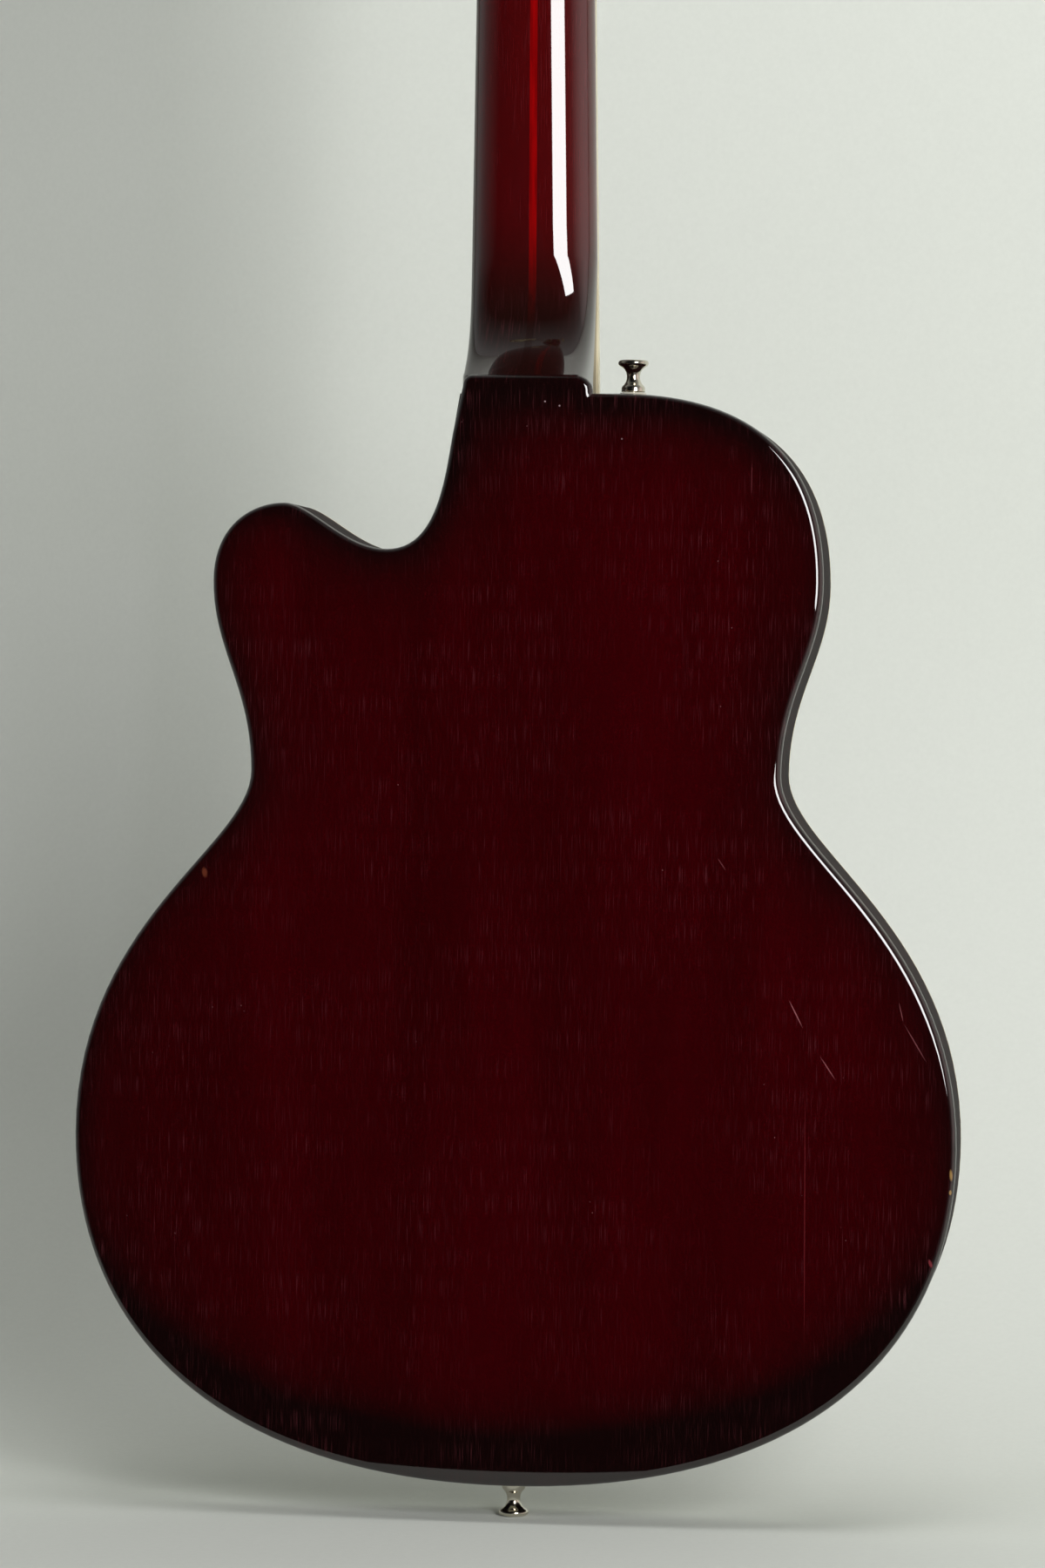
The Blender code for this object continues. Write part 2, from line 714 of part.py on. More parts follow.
# Linings that glue the plates to the rim, in two halves each, between the blocks
tail_room = box(
    "tail_room",
    (-TAIL_BLOCK_WIDTH / 2 - GAP, 2 * FRONT_Y, -GAP),
    (TAIL_BLOCK_WIDTH / 2 + GAP, 2 * BACK_Y, TAIL_BLOCK_TOP + GAP),
)
neck_room = box(
    "neck_room",
    (-NECK_BLOCK_BASS - GAP, 2 * FRONT_Y, NECK_BLOCK_LOW - GAP),
    (CUTAWAY_X + GAP, 2 * BACK_Y, SHOULDER_Z + 3 * TONGUE_HEIGHT),
)
lining_inner = inset(OUTLINE, RIM_WALL + GAP + LINING_WIDTH)
LINING_DEPTHS = {
    "front": (RIM_FRONT_Y, RIM_FRONT_Y + LINING_DEPTH),
    "back": (RIM_BACK_Y - LINING_DEPTH, RIM_BACK_Y),
}
for depth_name, (front, back) in LINING_DEPTHS.items():
    for side_name, side in (("bass", -1), ("treble", 1)):
        lining = band(
            f"lining_{depth_name}_{side_name}", inside, lining_inner, front, back, "spruce"
        )
        half_name = f"half_{depth_name}_{side_name}"
        low_x = min(0, side * BEYOND)
        high_x = max(0, side * BEYOND)
        half = box(half_name, (low_x, -BEYOND, -BEYOND), (high_x, BEYOND, BEYOND))
        combine(lining, half, "INTERSECT")
        combine(lining, tail_room)
        combine(lining, neck_room)

# Tone bars under the top
BAR_STEPS = 14
for bar_name, side in (("tone_bar_bass", -1), ("tone_bar_treble", 1)):
    loops = []
    bar_low = TAIL_BLOCK_TOP + BAR_TAIL_ROOM
    bar_high = NECK_BLOCK_LOW - BAR_NECK_ROOM
    for k in range(BAR_STEPS + 1):
        t = k / BAR_STEPS
        z = bar_low + (bar_high - bar_low) * t
        x = side * (BAR_LOW_X + (BAR_HIGH_X - BAR_LOW_X) * t)
        front = rearmost(x, z, BAR_WIDTH / 2, 0) + PLATE_THICKNESS + ARCH_GAP
        deep = front + BAR_END_DEPTH + (BAR_DEPTH - BAR_END_DEPTH) * math.sin(math.pi * t)
        left = x - BAR_WIDTH / 2
        right = x + BAR_WIDTH / 2
        loops.append([(left, front, z), (right, front, z), (right, deep, z), (left, deep, z)])
    add_mesh(bar_name, *skin(loops), "spruce")

# Neck: one blank, sawn into two wings and the centre strip
NECK_SLOPE = math.tan(math.radians(NECK_ANGLE))
NECK_UNDER = FINGERBOARD + GAP
HEEL_LOW = SHOULDER_Z + GAP
HEEL_TOP = SHOULDER_Z + TONGUE_HEIGHT
NECK_LOW = HEEL_TOP + HEEL_CURVE
NUT_Z = (NECK_FRAME @ Vector((0, NECK_UNDER, NUT_ALONG))).z
SECTION_STEPS = 12
HEEL_STEPS = 7
NECK_STEPS = 6
FLARE_STEPS = 5
CROWN_STEPS = 5


def neck_front(z):
    low = NECK_FRAME @ Vector((0, NECK_UNDER, 0))
    return low.y + (z - low.z) * NECK_SLOPE


def tapered(joint_size, nut_size, along):
    """A size that changes evenly from the body joint to the nut."""
    return joint_size + (nut_size - joint_size) * along / NUT_ALONG


def section(width, depth, power):
    """A D-shape as (across, back) pairs: flat in front, round or squared at its back."""
    loop = []
    for k in range(SECTION_STEPS + 1):
        angle = math.pi * k / SECTION_STEPS
        across = math.copysign(abs(math.cos(angle)) ** (2 / power), math.cos(angle))
        loop.append((width / 2 * across, depth * math.sin(angle) ** (2 / power)))
    return loop


def neck_section(z, depth, power, narrower=0.0):
    width = tapered(JOINT_WIDTH, NUT_WIDTH, z - SHOULDER_Z) - narrower
    return [(x, neck_front(z) + y, z) for x, y in section(width, depth, power)]


def head_width(along):
    """Headstock width: a flare, a slow widening and a domed top."""
    flare = min(along / HEAD_FLARE, 1.0)
    width = NUT_WIDTH + (HEAD_WIDTH_LOW - NUT_WIDTH) * flare * flare * (3 - 2 * flare)
    width += (HEAD_WIDTH_TOP - HEAD_WIDTH_LOW) * along / HEAD_LENGTH
    crown = max(along - (HEAD_LENGTH - HEAD_CROWN), 0.0) / HEAD_CROWN
    narrowing = 1 - (HEAD_TIP_WIDTH / HEAD_WIDTH_TOP) ** 2
    return width * math.sqrt(1 - narrowing * crown * crown)


def head_stations(start):
    """Distances along the headstock at which its outline turns."""
    stations = [start + (HEAD_FLARE - start) * k / FLARE_STEPS for k in range(FLARE_STEPS + 1)]
    stations.append((HEAD_FLARE + HEAD_LENGTH - HEAD_CROWN) / 2)
    for k in range(CROWN_STEPS + 1):
        rise = math.sin(math.pi / 2 * k / CROWN_STEPS)
        stations.append(HEAD_LENGTH - HEAD_CROWN + HEAD_CROWN * rise)
    return stations


sections = []
heel_heights = [HEEL_TOP + HEEL_CURVE * k / HEEL_STEPS for k in range(HEEL_STEPS + 1)]
for z in [HEEL_LOW] + heel_heights:
    left = min((NECK_LOW - z) / HEEL_CURVE, 1.0)
    depth = tapered(NECK_DEPTH_JOINT, NECK_DEPTH_NUT, z - SHOULDER_Z)
    depth += (RIM_BACK_Y - neck_front(z) - depth) * left ** HEEL_HOLLOW
    power = HEEL_END_POWER + (HEEL_POWER - HEEL_END_POWER) * left
    sections.append(neck_section(z, depth, power, HEEL_NARROWING * left))
for k in range(1, NECK_STEPS + 1):
    z = NECK_LOW + (NUT_Z - NECK_LOW) * k / NECK_STEPS
    power = HEEL_END_POWER + (NECK_POWER - HEEL_END_POWER) * min(2 * k / NECK_STEPS, 1)
    depth = tapered(NECK_DEPTH_JOINT, NECK_DEPTH_NUT, z - SHOULDER_Z)
    sections.append(neck_section(z, depth, power))
for along in head_stations(HEAD_START):
    square = min(along / HEAD_FLARE, 1.0)
    depth = NECK_DEPTH_NUT + (HEAD_DEPTH - NECK_DEPTH_NUT) * square
    shape = section(head_width(along), depth, NECK_POWER + (HEAD_POWER - NECK_POWER) * square)
    sections.append([HEAD_FRAME @ Vector((x, GAP + y, along)) for x, y in shape])
neck_blank = add_mesh("neck_blank", *skin(sections))
extension = box(
    "extension",
    (-JOINT_WIDTH / 2 + EXTENSION_MARGIN, NECK_UNDER + GAP, -EXTENSION_LENGTH),
    (JOINT_WIDTH / 2 - EXTENSION_MARGIN, NECK_UNDER + EXTENSION_DEPTH, EXTENSION_ROOT),
    frame=NECK_FRAME,
)
combine(neck_blank, extension, "UNION")
tenon = box(
    "tenon",
    (-TENON_WIDTH / 2, -TENON_DEPTH / 2, SHOULDER_Z - TENON_LENGTH),
    (TENON_WIDTH / 2, TENON_DEPTH / 2, SHOULDER_Z + TONGUE_HEIGHT / 2),
)
combine(neck_blank, tenon, "UNION")

# Room for the truss rod and its nut
TRUSS_Y = NECK_UNDER + TRUSS_ROD_DEPTH
TRUSS_LOW = TRUSS_CHANNEL_LOW + TRUSS_END_ROOM
TRUSS_END = NUT_ALONG + TRUSS_REACH
channel = box(
    "truss_channel",
    (-TRUSS_CHANNEL / 2, 0, TRUSS_CHANNEL_LOW),
    (TRUSS_CHANNEL / 2, TRUSS_Y + TRUSS_CHANNEL / 2, NUT_ALONG + TRUSS_POCKET),
    frame=NECK_FRAME,
)
combine(neck_blank, channel)
nut_room = box(
    "nut_room",
    (-TRUSS_NUT / 2 - GAP, 0, TRUSS_END - TRUSS_NUT_LENGTH),
    (TRUSS_NUT / 2 + GAP, TRUSS_Y + TRUSS_NUT / 2 + GAP, NUT_ALONG + TRUSS_POCKET - GAP),
    frame=NECK_FRAME,
)
combine(neck_blank, nut_room)

# Holes for the tuner posts
TUNER_ROWS = [HEAD_LENGTH * share for share in TUNER_SHARES]
post_holes = {-1: [], 1: []}
for side, holes in post_holes.items():
    for row, along in enumerate(TUNER_ROWS):
        hole = drill(
            f"post_hole_{row}_{side + 1}",
            POST_DIAMETER / 2 + GAP,
            (-HEAD_DEPTH, 2 * HEAD_DEPTH),
            (side * TUNER_X, 0, along),
            "Y",
            HEAD_FRAME,
        )
        holes.append(hole)
        combine(neck_blank, hole)

strip_bass = -STRIP_SHIFT - STRIP_WIDTH / 2
strip_treble = -STRIP_SHIFT + STRIP_WIDTH / 2
NECK_PIECES = {
    "neck_wing_bass": (-BEYOND, strip_bass - GAP, "cherry"),
    "neck_centre_strip": (strip_bass, strip_treble, "maple"),
    "neck_wing_treble": (strip_treble + GAP, BEYOND, "cherry"),
}
for name, (low_x, high_x, kind) in NECK_PIECES.items():
    piece = box(name, (low_x, -BEYOND, 0), (high_x, BEYOND, 2 * BEYOND), kind)
    combine(piece, neck_blank, "INTERSECT")

# Headstock veneer
veneer_loops = []
for level in (-VENEER, 0.0):
    right = [(head_width(z) / 2 - GAP, level, z) for z in head_stations(VENEER_START)]
    veneer_loops.append(right + [(-x, y, z) for x, y, z in reversed(right)])
veneer = add_mesh("headstock_veneer", *skin(veneer_loops), "black", HEAD_FRAME)
for holes in post_holes.values():
    for hole in holes:
        combine(veneer, hole)
combine(veneer, nut_room)

# Fingerboard with its frets pressed in
BOARD_STEPS = 4


def crowned(along, lift, low, shrink=0.0):
    """Cross-section of the fingerboard at a distance along it."""
    half = tapered(JOINT_WIDTH, NUT_WIDTH, along) / 2 - shrink
    loop = []
    for k in range(BOARD_STEPS + 1):
        across = 2 * k / BOARD_STEPS - 1
        loop.append((half * across, FINGERBOARD_CROWN * across * across - lift, along))
    loop.append((half, low, along))
    loop.append((-half, low, along))
    return loop


board_ends = (FINGERBOARD_END, NUT_ALONG - GAP)
fingerboard = add_mesh(
    "fingerboard",
    *skin([crowned(along, 0, FINGERBOARD) for along in board_ends]),
    "rosewood",
    NECK_FRAME,
)
for fret in range(1, FRET_COUNT + 1):
    along = NUT_ALONG - SCALE_LENGTH * (1 - 2 ** (-fret / 12))
    ends = (along - FRET_WIDTH / 2, along + FRET_WIDTH / 2)
    loops = [crowned(end, FRET_HEIGHT, FRET_TANG, FRET_END) for end in ends]
    combine(fingerboard, add_mesh(f"fret_{fret}", *skin(loops), frame=NECK_FRAME), "UNION")


def string_x(index, spread):
    return (index / (len(STRING_DIAMETERS) - 1) - 0.5) * spread


# Nut with its string slots
nut = box(
    "nut",
    (-NUT_WIDTH / 2, -NUT_RISE, NUT_ALONG),
    (NUT_WIDTH / 2, FINGERBOARD, NUT_BACK),
    "bone",
    NECK_FRAME,
)
for index, diameter in enumerate(STRING_DIAMETERS):
    x = string_x(index, STRING_SPREAD_NUT)
    reach = diameter / 2 + STRING_GAP
    slot = box(
        f"nut_slot_{index}",
        (x - reach, -2 * NUT_RISE, NUT_ALONG - NUT_THICKNESS),
        (x + reach, -NUT_RISE + reach, NUT_ALONG + 2 * NUT_THICKNESS),
        frame=NECK_FRAME,
    )
    combine(nut, slot)

# Truss rod, its nut and its cover
turned(
    "truss_rod",
    [(TRUSS_ROD / 2, TRUSS_LOW), (TRUSS_ROD / 2, TRUSS_END)],
    (0, TRUSS_Y, 0),
    "Z",
    "steel",
    NECK_FRAME,
    12,
)
HEX_SIDES = 6
tube(
    "truss_rod_nut",
    [(TRUSS_NUT / 2, -TRUSS_NUT_LENGTH + GAP), (TRUSS_NUT / 2, GAP)],
    TRUSS_ROD / 2 / math.cos(math.pi / HEX_SIDES) + SHAFT_GAP,
    (0, TRUSS_Y, TRUSS_END),
    "Z",
    "brass",
    NECK_FRAME,
    HEX_SIDES,
)
COVER_STEPS = 8
cover_loops = []
for level in (-VENEER - GAP - COVER_THICKNESS, -VENEER - GAP):
    right = []
    for k in range(COVER_STEPS + 1):
        t = k / COVER_STEPS
        width = COVER_END_WIDTH + (COVER_WIDTH - COVER_END_WIDTH) * math.sin(math.pi * t)
        right.append((width / 2, level, COVER_LOW + (COVER_HIGH - COVER_LOW) * t))
    cover_loops.append(right + [(-x, y, z) for x, y, z in reversed(right)])
add_mesh("truss_rod_cover", *skin(cover_loops), "black", HEAD_FRAME)

# Tuners: two strips, each with three keys and three posts
PLATE_FRONT = GAP + HEAD_DEPTH + GAP
PLATE_BACK = PLATE_FRONT + TUNER_PLATE
GEAR_LOW = PLATE_BACK + GEAR_LIFT
WORM_Y = GEAR_LOW + GEAR_THICKNESS / 2
WORM_OFFSET = GEAR_RADIUS + WORM_RADIUS + WORM_ROOM
LUG_NEAR = WORM_HALF_LENGTH + GAP
LUG_HALF = KEY_SHAFT / 2 + LUG_WALL


def side_box(name, side, near_x, far_x, low, high, kind=None):
    """A box on one side of the headstock, between two distances from its centre line."""
    xs = sorted((side * near_x, side * far_x))
    return box(name, (xs[0], low[0], low[1]), (xs[1], high[0], high[1]), kind, HEAD_FRAME)


def key_profile():
    """Worm, shaft and button of a key as (radius, height, flatness)."""
    reach = HEAD_WIDTH_TOP / 2 + KEY_REACH - TUNER_X
    shaft = KEY_SHAFT / 2
    button = KEY_BUTTON_WIDTH / 2
    return [
        (shaft, -LUG_NEAR - LUG_THICKNESS - GAP, 1.0),
        (shaft, -WORM_HALF_LENGTH, 1.0),
        (WORM_RADIUS, -WORM_HALF_LENGTH, 1.0),
        (WORM_RADIUS, WORM_HALF_LENGTH, 1.0),
        (shaft, WORM_HALF_LENGTH, 1.0),
        (shaft, reach, 1.0),
        (KEY_COLLAR / 2, reach + GAP, 1.0),
        (button, reach + KEY_BUTTON_EASE, KEY_BUTTON_FLATNESS),
        (button, reach + KEY_BUTTON_LENGTH - KEY_BUTTON_EASE, KEY_BUTTON_FLATNESS),
        (button / 2, reach + KEY_BUTTON_LENGTH, KEY_BUTTON_FLATNESS),
    ]


KEY_SIDES = 8
for side_name, side in (("bass", -1), ("treble", 1)):
    strip = side_box(
        "tuner_strip_" + side_name,
        side,
        TUNER_X - TUNER_PLATE_INNER,
        TUNER_X + TUNER_PLATE_OUTER,
        (PLATE_FRONT, TUNER_ROWS[0] - TUNER_PLATE_LOW),
        (PLATE_BACK, TUNER_ROWS[-1] + TUNER_PLATE_HIGH),
        "nickel",
    )
    for hole in post_holes[side]:
        combine(strip, hole)
    for row, along in enumerate(TUNER_ROWS):
        worm_along = along + WORM_OFFSET
        for lug_name, direction in (("inner", -1), ("outer", 1)):
            near = TUNER_X + direction * LUG_NEAR
            lug = side_box(
                f"lug_{lug_name}_{side_name}_{row}",
                side,
                near,
                near + direction * LUG_THICKNESS,
                (PLATE_FRONT + TUNER_PLATE / 2, worm_along - LUG_HALF),
                (WORM_Y + LUG_HALF, worm_along + LUG_HALF),
            )
            combine(strip, lug, "UNION")
    for row, along in enumerate(TUNER_ROWS):
        worm_place = (side * TUNER_X, WORM_Y, along + WORM_OFFSET)
        bore = drill(
            f"lug_bore_{side_name}_{row}",
            KEY_SHAFT / 2 / math.cos(math.pi / KEY_SIDES) + SHAFT_GAP,
            (-TUNER_X, TUNER_X),
            worm_place,
            "X",
            HEAD_FRAME,
            KEY_SIDES,
        )
        combine(strip, bore)
        loops = [round_loop(r, side * h, KEY_SIDES, flat) for r, h, flat in key_profile()]
        add_mesh(
            f"tuner_key_{side_name}_{row + 1}",
            *skin(loops),
            "cream",
            laid(worm_place, "X", HEAD_FRAME),
        )
        post_place = (side * TUNER_X, 0, along)
        post_top = -VENEER - POST_RISE
        post = turned(
            f"tuner_post_{side_name}_{row + 1}",
            [
                (POST_DIAMETER / 2 - POST_EASE, post_top),
                (POST_DIAMETER / 2, post_top + POST_EASE),
                (POST_DIAMETER / 2, GEAR_LOW + GEAR_THICKNESS / 2),
            ],
            post_place,
            "Y",
            "nickel",
            HEAD_FRAME,
            12,
        )
        gear_loops = []
        for height in (GEAR_LOW, GEAR_LOW + GEAR_THICKNESS):
            loop = []
            for k in range(2 * GEAR_TEETH):
                radius = GEAR_RADIUS - (GEAR_TOOTH if k % 2 else 0.0)
                angle = math.pi * k / GEAR_TEETH
                loop.append((radius * math.cos(angle), radius * math.sin(angle), height))
            gear_loops.append(loop)
        gear = add_mesh(
            f"gear_{side_name}_{row}", *skin(gear_loops), None, laid(post_place, "Y", HEAD_FRAME)
        )
        combine(post, gear, "UNION")

# Bridge base, its two feet shaped to the arched top
BASE_STEPS = 16
bridge_back = frontmost(0, BRIDGE_Z, 0, BRIDGE_DEPTH / 2) - ARCH_GAP
base_front = bridge_back - BRIDGE_BASE_HEIGHT
base_loops = []
for k in range(BASE_STEPS + 1):
    x = BRIDGE_LENGTH * (k / BASE_STEPS - 0.5)
    arch = BRIDGE_FOOT_ARCH * max(1 - (4 * x / BRIDGE_LENGTH) ** 2, 0.0)
    loop = []
    for z in (BRIDGE_Z - BRIDGE_DEPTH / 2, BRIDGE_Z + BRIDGE_DEPTH / 2):
        loop.append((x, top_front(x, z) - ARCH_GAP - arch, z))
    base_loops.append(loop + [(x, base_front, loop[1][2]), (x, base_front, loop[0][2])])
bridge_base = add_mesh("bridge_base", *skin(base_loops), "rosewood")

# Saddle with a crest under the strings
string_bridge_y = (NECK_FRAME @ Vector((0, -STRING_HEIGHT_JOINT, BRIDGE_Z - SHOULDER_Z))).y
saddle_front = string_bridge_y + STRING_DIAMETERS[0] / 2 + STRING_GAP
saddle_back = saddle_front + SADDLE_HEIGHT
saddle_profile = [
    (saddle_back, -SADDLE_DEPTH / 2),
    (saddle_front + SADDLE_FALL, -SADDLE_DEPTH / 2),
    (saddle_front, -SADDLE_CREST / 2),
    (saddle_front, SADDLE_CREST / 2),
    (saddle_front + SADDLE_FALL / 2, SADDLE_DEPTH / 2),
    (saddle_back, SADDLE_DEPTH / 2),
]
saddle_loops = []
for x in (-SADDLE_LENGTH / 2, SADDLE_LENGTH / 2):
    saddle_loops.append([(x, y, BRIDGE_Z + z) for y, z in saddle_profile])
saddle = add_mesh("bridge_saddle", *skin(saddle_loops), "rosewood")

# Bridge posts and the thumbwheels that carry the saddle
wheel_front = saddle_back + GAP
for side_name, side in (("bass", -1), ("treble", 1)):
    foot = (side * BRIDGE_POST_X, 0, BRIDGE_Z)
    post_low = base_front + POST_SINK
    post_high = saddle_front + POST_HEAD_ROOM
    turned(
        "bridge_post_" + side_name,
        [(BRIDGE_POST / 2, post_high), (BRIDGE_POST / 2, post_low)],
        foot,
        "Y",
        "brass",
        sides=16,
    )
    reach = (2 * saddle_front, post_low + GAP)
    bore = drill("post_bore_" + side_name, BRIDGE_POST / 2 + GAP, reach, foot, "Y")
    combine(bridge_base, bore)
    combine(saddle, bore)
    tube(
        "thumbwheel_" + side_name,
        [
            (THUMBWHEEL_RADIUS, wheel_front),
            (THUMBWHEEL_RADIUS, wheel_front + THUMBWHEEL_THICKNESS),
        ],
        BRIDGE_POST / 2 + SHAFT_GAP,
        foot,
        "Y",
        "brass",
    )

# Tailpiece bracket, bent under the body and up its front
bracket_low = BUTTON_LENGTH + GAP
bracket_front = FRONT_Y - BRACKET_STANDOFF - BRACKET_SHEET
bracket_half = BRACKET_WIDTH / 2
HINGE_Z = bracket_low + BRACKET_FRONT_HEIGHT + HINGE_KNUCKLE / 2
HINGE_Y = bracket_front - HINGE_KNUCKLE / 2 + BRACKET_SHEET
bracket = box(
    "tailpiece_bracket",
    (-bracket_half, bracket_front, bracket_low),
    (bracket_half, BRACKET_BACK, bracket_low + BRACKET_SHEET),
    "nickel",
)
front_leg = box(
    "bracket_front_leg",
    (-bracket_half, bracket_front, bracket_low),
    (bracket_half, bracket_front + BRACKET_SHEET, HINGE_Z),
)
combine(bracket, front_leg, "UNION")
HINGE_PLACE = (0, HINGE_Y, HINGE_Z)
knuckle = drill("bracket_knuckle", HINGE_KNUCKLE / 2, (-bracket_half, bracket_half), HINGE_PLACE, "X")
combine(bracket, knuckle, "UNION")
screw_radius = BUTTON_SCREW / 2 + GAP
combine(bracket, drill("bracket_hole", screw_radius, (0, 2 * BUTTON_LENGTH), (0, 0, 0)))

# Hinge pin
PIN_SIDES = 12
pin_half = bracket_half + GAP + HINGE_EYE_WIDTH + PIN_OVERHANG
turned(
    "tailpiece_pin",
    [(HINGE_PIN / 2, -pin_half), (HINGE_PIN / 2, pin_half)],
    HINGE_PLACE,
    "X",
    "steel",
    sides=PIN_SIDES,
)
pin_bore = drill(
    "pin_bore",
    HINGE_PIN / 2 + SHAFT_GAP,
    (-2 * pin_half, 2 * pin_half),
    HINGE_PLACE,
    "X",
    sides=PIN_SIDES,
)
combine(bracket, pin_bore)


def bar_along(name, points, diameter, sides=8):
    """A round bar along straight runs, as a mesh that a Boolean can join."""
    loops = []
    for k, point in enumerate(points):
        before = Vector(points[max(k - 1, 0)])
        after = Vector(points[min(k + 1, len(points) - 1)])
        along = (after - before).normalized()
        across = along.cross(Vector((0, 1, 0))).normalized()
        other = along.cross(across)
        loop = []
        for j in range(sides):
            angle = 2 * math.pi * j / sides
            reach = across * math.cos(angle) + other * math.sin(angle)
            loop.append(Vector(point) + reach * diameter / 2)
        loops.append(loop)
    return add_mesh(name, *skin(loops))


# Trapeze: a string bar on two rods that end in hinge eyes
bar_z = HINGE_Z + TRAPEZE_LENGTH
bar_y = top_front(0, bar_z) - STRING_BAR_STANDOFF - STRING_BAR_DEPTH / 2
bar_front = bar_y - STRING_BAR_DEPTH / 2
bar_half = TRAPEZE_HALF_WIDTH + STRING_BAR_OVERHANG
trapeze = box(
    "tailpiece_trapeze",
    (-bar_half, bar_front, bar_z - STRING_BAR_HEIGHT / 2),
    (bar_half, bar_y + STRING_BAR_DEPTH / 2, bar_z + STRING_BAR_HEIGHT / 2),
    "nickel",
)
for side_name, side in (("bass", -1), ("treble", 1)):
    eye_x = side * (bracket_half + GAP + HINGE_EYE_WIDTH / 2)
    leg_points = [
        (eye_x, HINGE_Y, HINGE_Z),
        (side * TRAPEZE_BEND_X, bar_y, bar_z - TRAPEZE_BEND),
        (side * TRAPEZE_HALF_WIDTH, bar_y, bar_z),
    ]
    combine(trapeze, bar_along("trapeze_leg_" + side_name, leg_points, TRAPEZE_ROD), "UNION")
    eye = drill(
        "trapeze_eye_" + side_name,
        HINGE_KNUCKLE / 2,
        (-HINGE_EYE_WIDTH / 2, HINGE_EYE_WIDTH / 2),
        (eye_x, HINGE_Y, HINGE_Z),
        "X",
    )
    combine(trapeze, eye, "UNION")
combine(trapeze, pin_bore)
for index, diameter in enumerate(STRING_DIAMETERS):
    x = string_x(index, STRING_SPREAD_BRIDGE)
    reach = diameter / 2 + STRING_GAP
    slot = box(
        f"bar_slot_{index}",
        (x - reach, bar_front - STRING_BAR_SLOT, bar_z - STRING_BAR_HEIGHT),
        (x + reach, bar_front + STRING_BAR_SLOT, bar_z + STRING_BAR_HEIGHT),
    )
    combine(trapeze, slot)

# Strap buttons, each one piece with its screw
BUTTON_SIDES = 16
button_profile = [
    (BUTTON_FLANGE / 2 - BUTTON_EASE, 0),
    (BUTTON_FLANGE / 2, BUTTON_EASE),
    (BUTTON_FLANGE / 2, BUTTON_RIM),
    (BUTTON_WAIST / 2 + BUTTON_EASE, BUTTON_LENGTH / 3),
    (BUTTON_WAIST / 2, BUTTON_LENGTH / 2),
    (BUTTON_WAIST / 2 + BUTTON_EASE / 2, BUTTON_LENGTH * 2 / 3),
    (BUTTON_COLLAR / 2, BUTTON_LENGTH - BUTTON_FOOT),
    (BUTTON_COLLAR / 2, BUTTON_LENGTH),
    (BUTTON_SCREW / 2, BUTTON_LENGTH),
    (BUTTON_SCREW / 2, BUTTON_LENGTH + BUTTON_SCREW_LENGTH),
    (BUTTON_SCREW / 8, BUTTON_LENGTH + BUTTON_SCREW_LENGTH + BUTTON_SCREW_POINT),
]
turned("strap_button_end", button_profile, (0, 0, 0), "Z", "nickel", sides=BUTTON_SIDES)
hole_depth = BUTTON_LENGTH + BUTTON_SCREW_LENGTH + 2 * BUTTON_SCREW_POINT
end_hole = drill("end_screw_hole", screw_radius, (0, hole_depth), (0, 0, 0))
combine(rim, end_hole)
combine(tail_block, end_hole)
shoulder_top = SHOULDER_Z + FELT_THICKNESS + 2 * GAP + BUTTON_LENGTH
shoulder_place = (-SHOULDER_BUTTON_X, 0, shoulder_top)
turned(
    "strap_button_shoulder",
    [(radius, -height) for radius, height in button_profile],
    shoulder_place,
    "Z",
    "nickel",
    sides=BUTTON_SIDES,
)
shoulder_hole = drill("shoulder_screw_hole", screw_radius, (-hole_depth, 0), shoulder_place)
combine(rim, shoulder_hole)
combine(neck_block, shoulder_hole)
felt_radius = BUTTON_COLLAR / 2 + FELT_MARGIN
tube(
    "felt_washer",
    [(felt_radius, 0), (felt_radius, FELT_THICKNESS)],
    screw_radius,
    (-SHOULDER_BUTTON_X, 0, SHOULDER_Z + GAP),
    "Z",
    "felt",
    sides=BUTTON_SIDES,
)

# Pickup, tilted like the strings, with a cover over its coil
PICKUP_FRAME = Matrix.Translation((0, top_front(0, PICKUP_Z), PICKUP_Z)) @ Matrix.Rotation(
    math.radians(-NECK_ANGLE), 4, "X"
)
cover_seat = 0.0
for x in (-PICKUP_LENGTH / 2, 0, PICKUP_LENGTH / 2):
    for z in (-PICKUP_WIDTH / 2, 0, PICKUP_WIDTH / 2):
        surface = Vector((x, top_front(x, PICKUP_Z + z), PICKUP_Z + z))
        cover_seat = min(cover_seat, (PICKUP_FRAME.inverted() @ surface).y)
cover_back = cover_seat - GAP
cover = box(
    "pickup_cover",
    (-PICKUP_LENGTH / 2, -PICKUP_RISE, -PICKUP_WIDTH / 2),
    (PICKUP_LENGTH / 2, cover_back, PICKUP_WIDTH / 2),
    "nickel",
    PICKUP_FRAME,
)
cover_room = box(
    "cover_room",
    (PICKUP_WALL - PICKUP_LENGTH / 2, PICKUP_WALL - PICKUP_RISE, PICKUP_WALL - PICKUP_WIDTH / 2),
    (PICKUP_LENGTH / 2 - PICKUP_WALL, PICKUP_RISE, PICKUP_WIDTH / 2 - PICKUP_WALL),
    frame=PICKUP_FRAME,
)
combine(cover, cover_room)
coil_front = PICKUP_WALL + GAP - PICKUP_RISE
box(
    "pickup_coil",
    (-COIL_LENGTH / 2, coil_front, -COIL_WIDTH / 2),
    (COIL_LENGTH / 2, coil_front + COIL_DEPTH, COIL_WIDTH / 2),
    "black",
    PICKUP_FRAME,
)

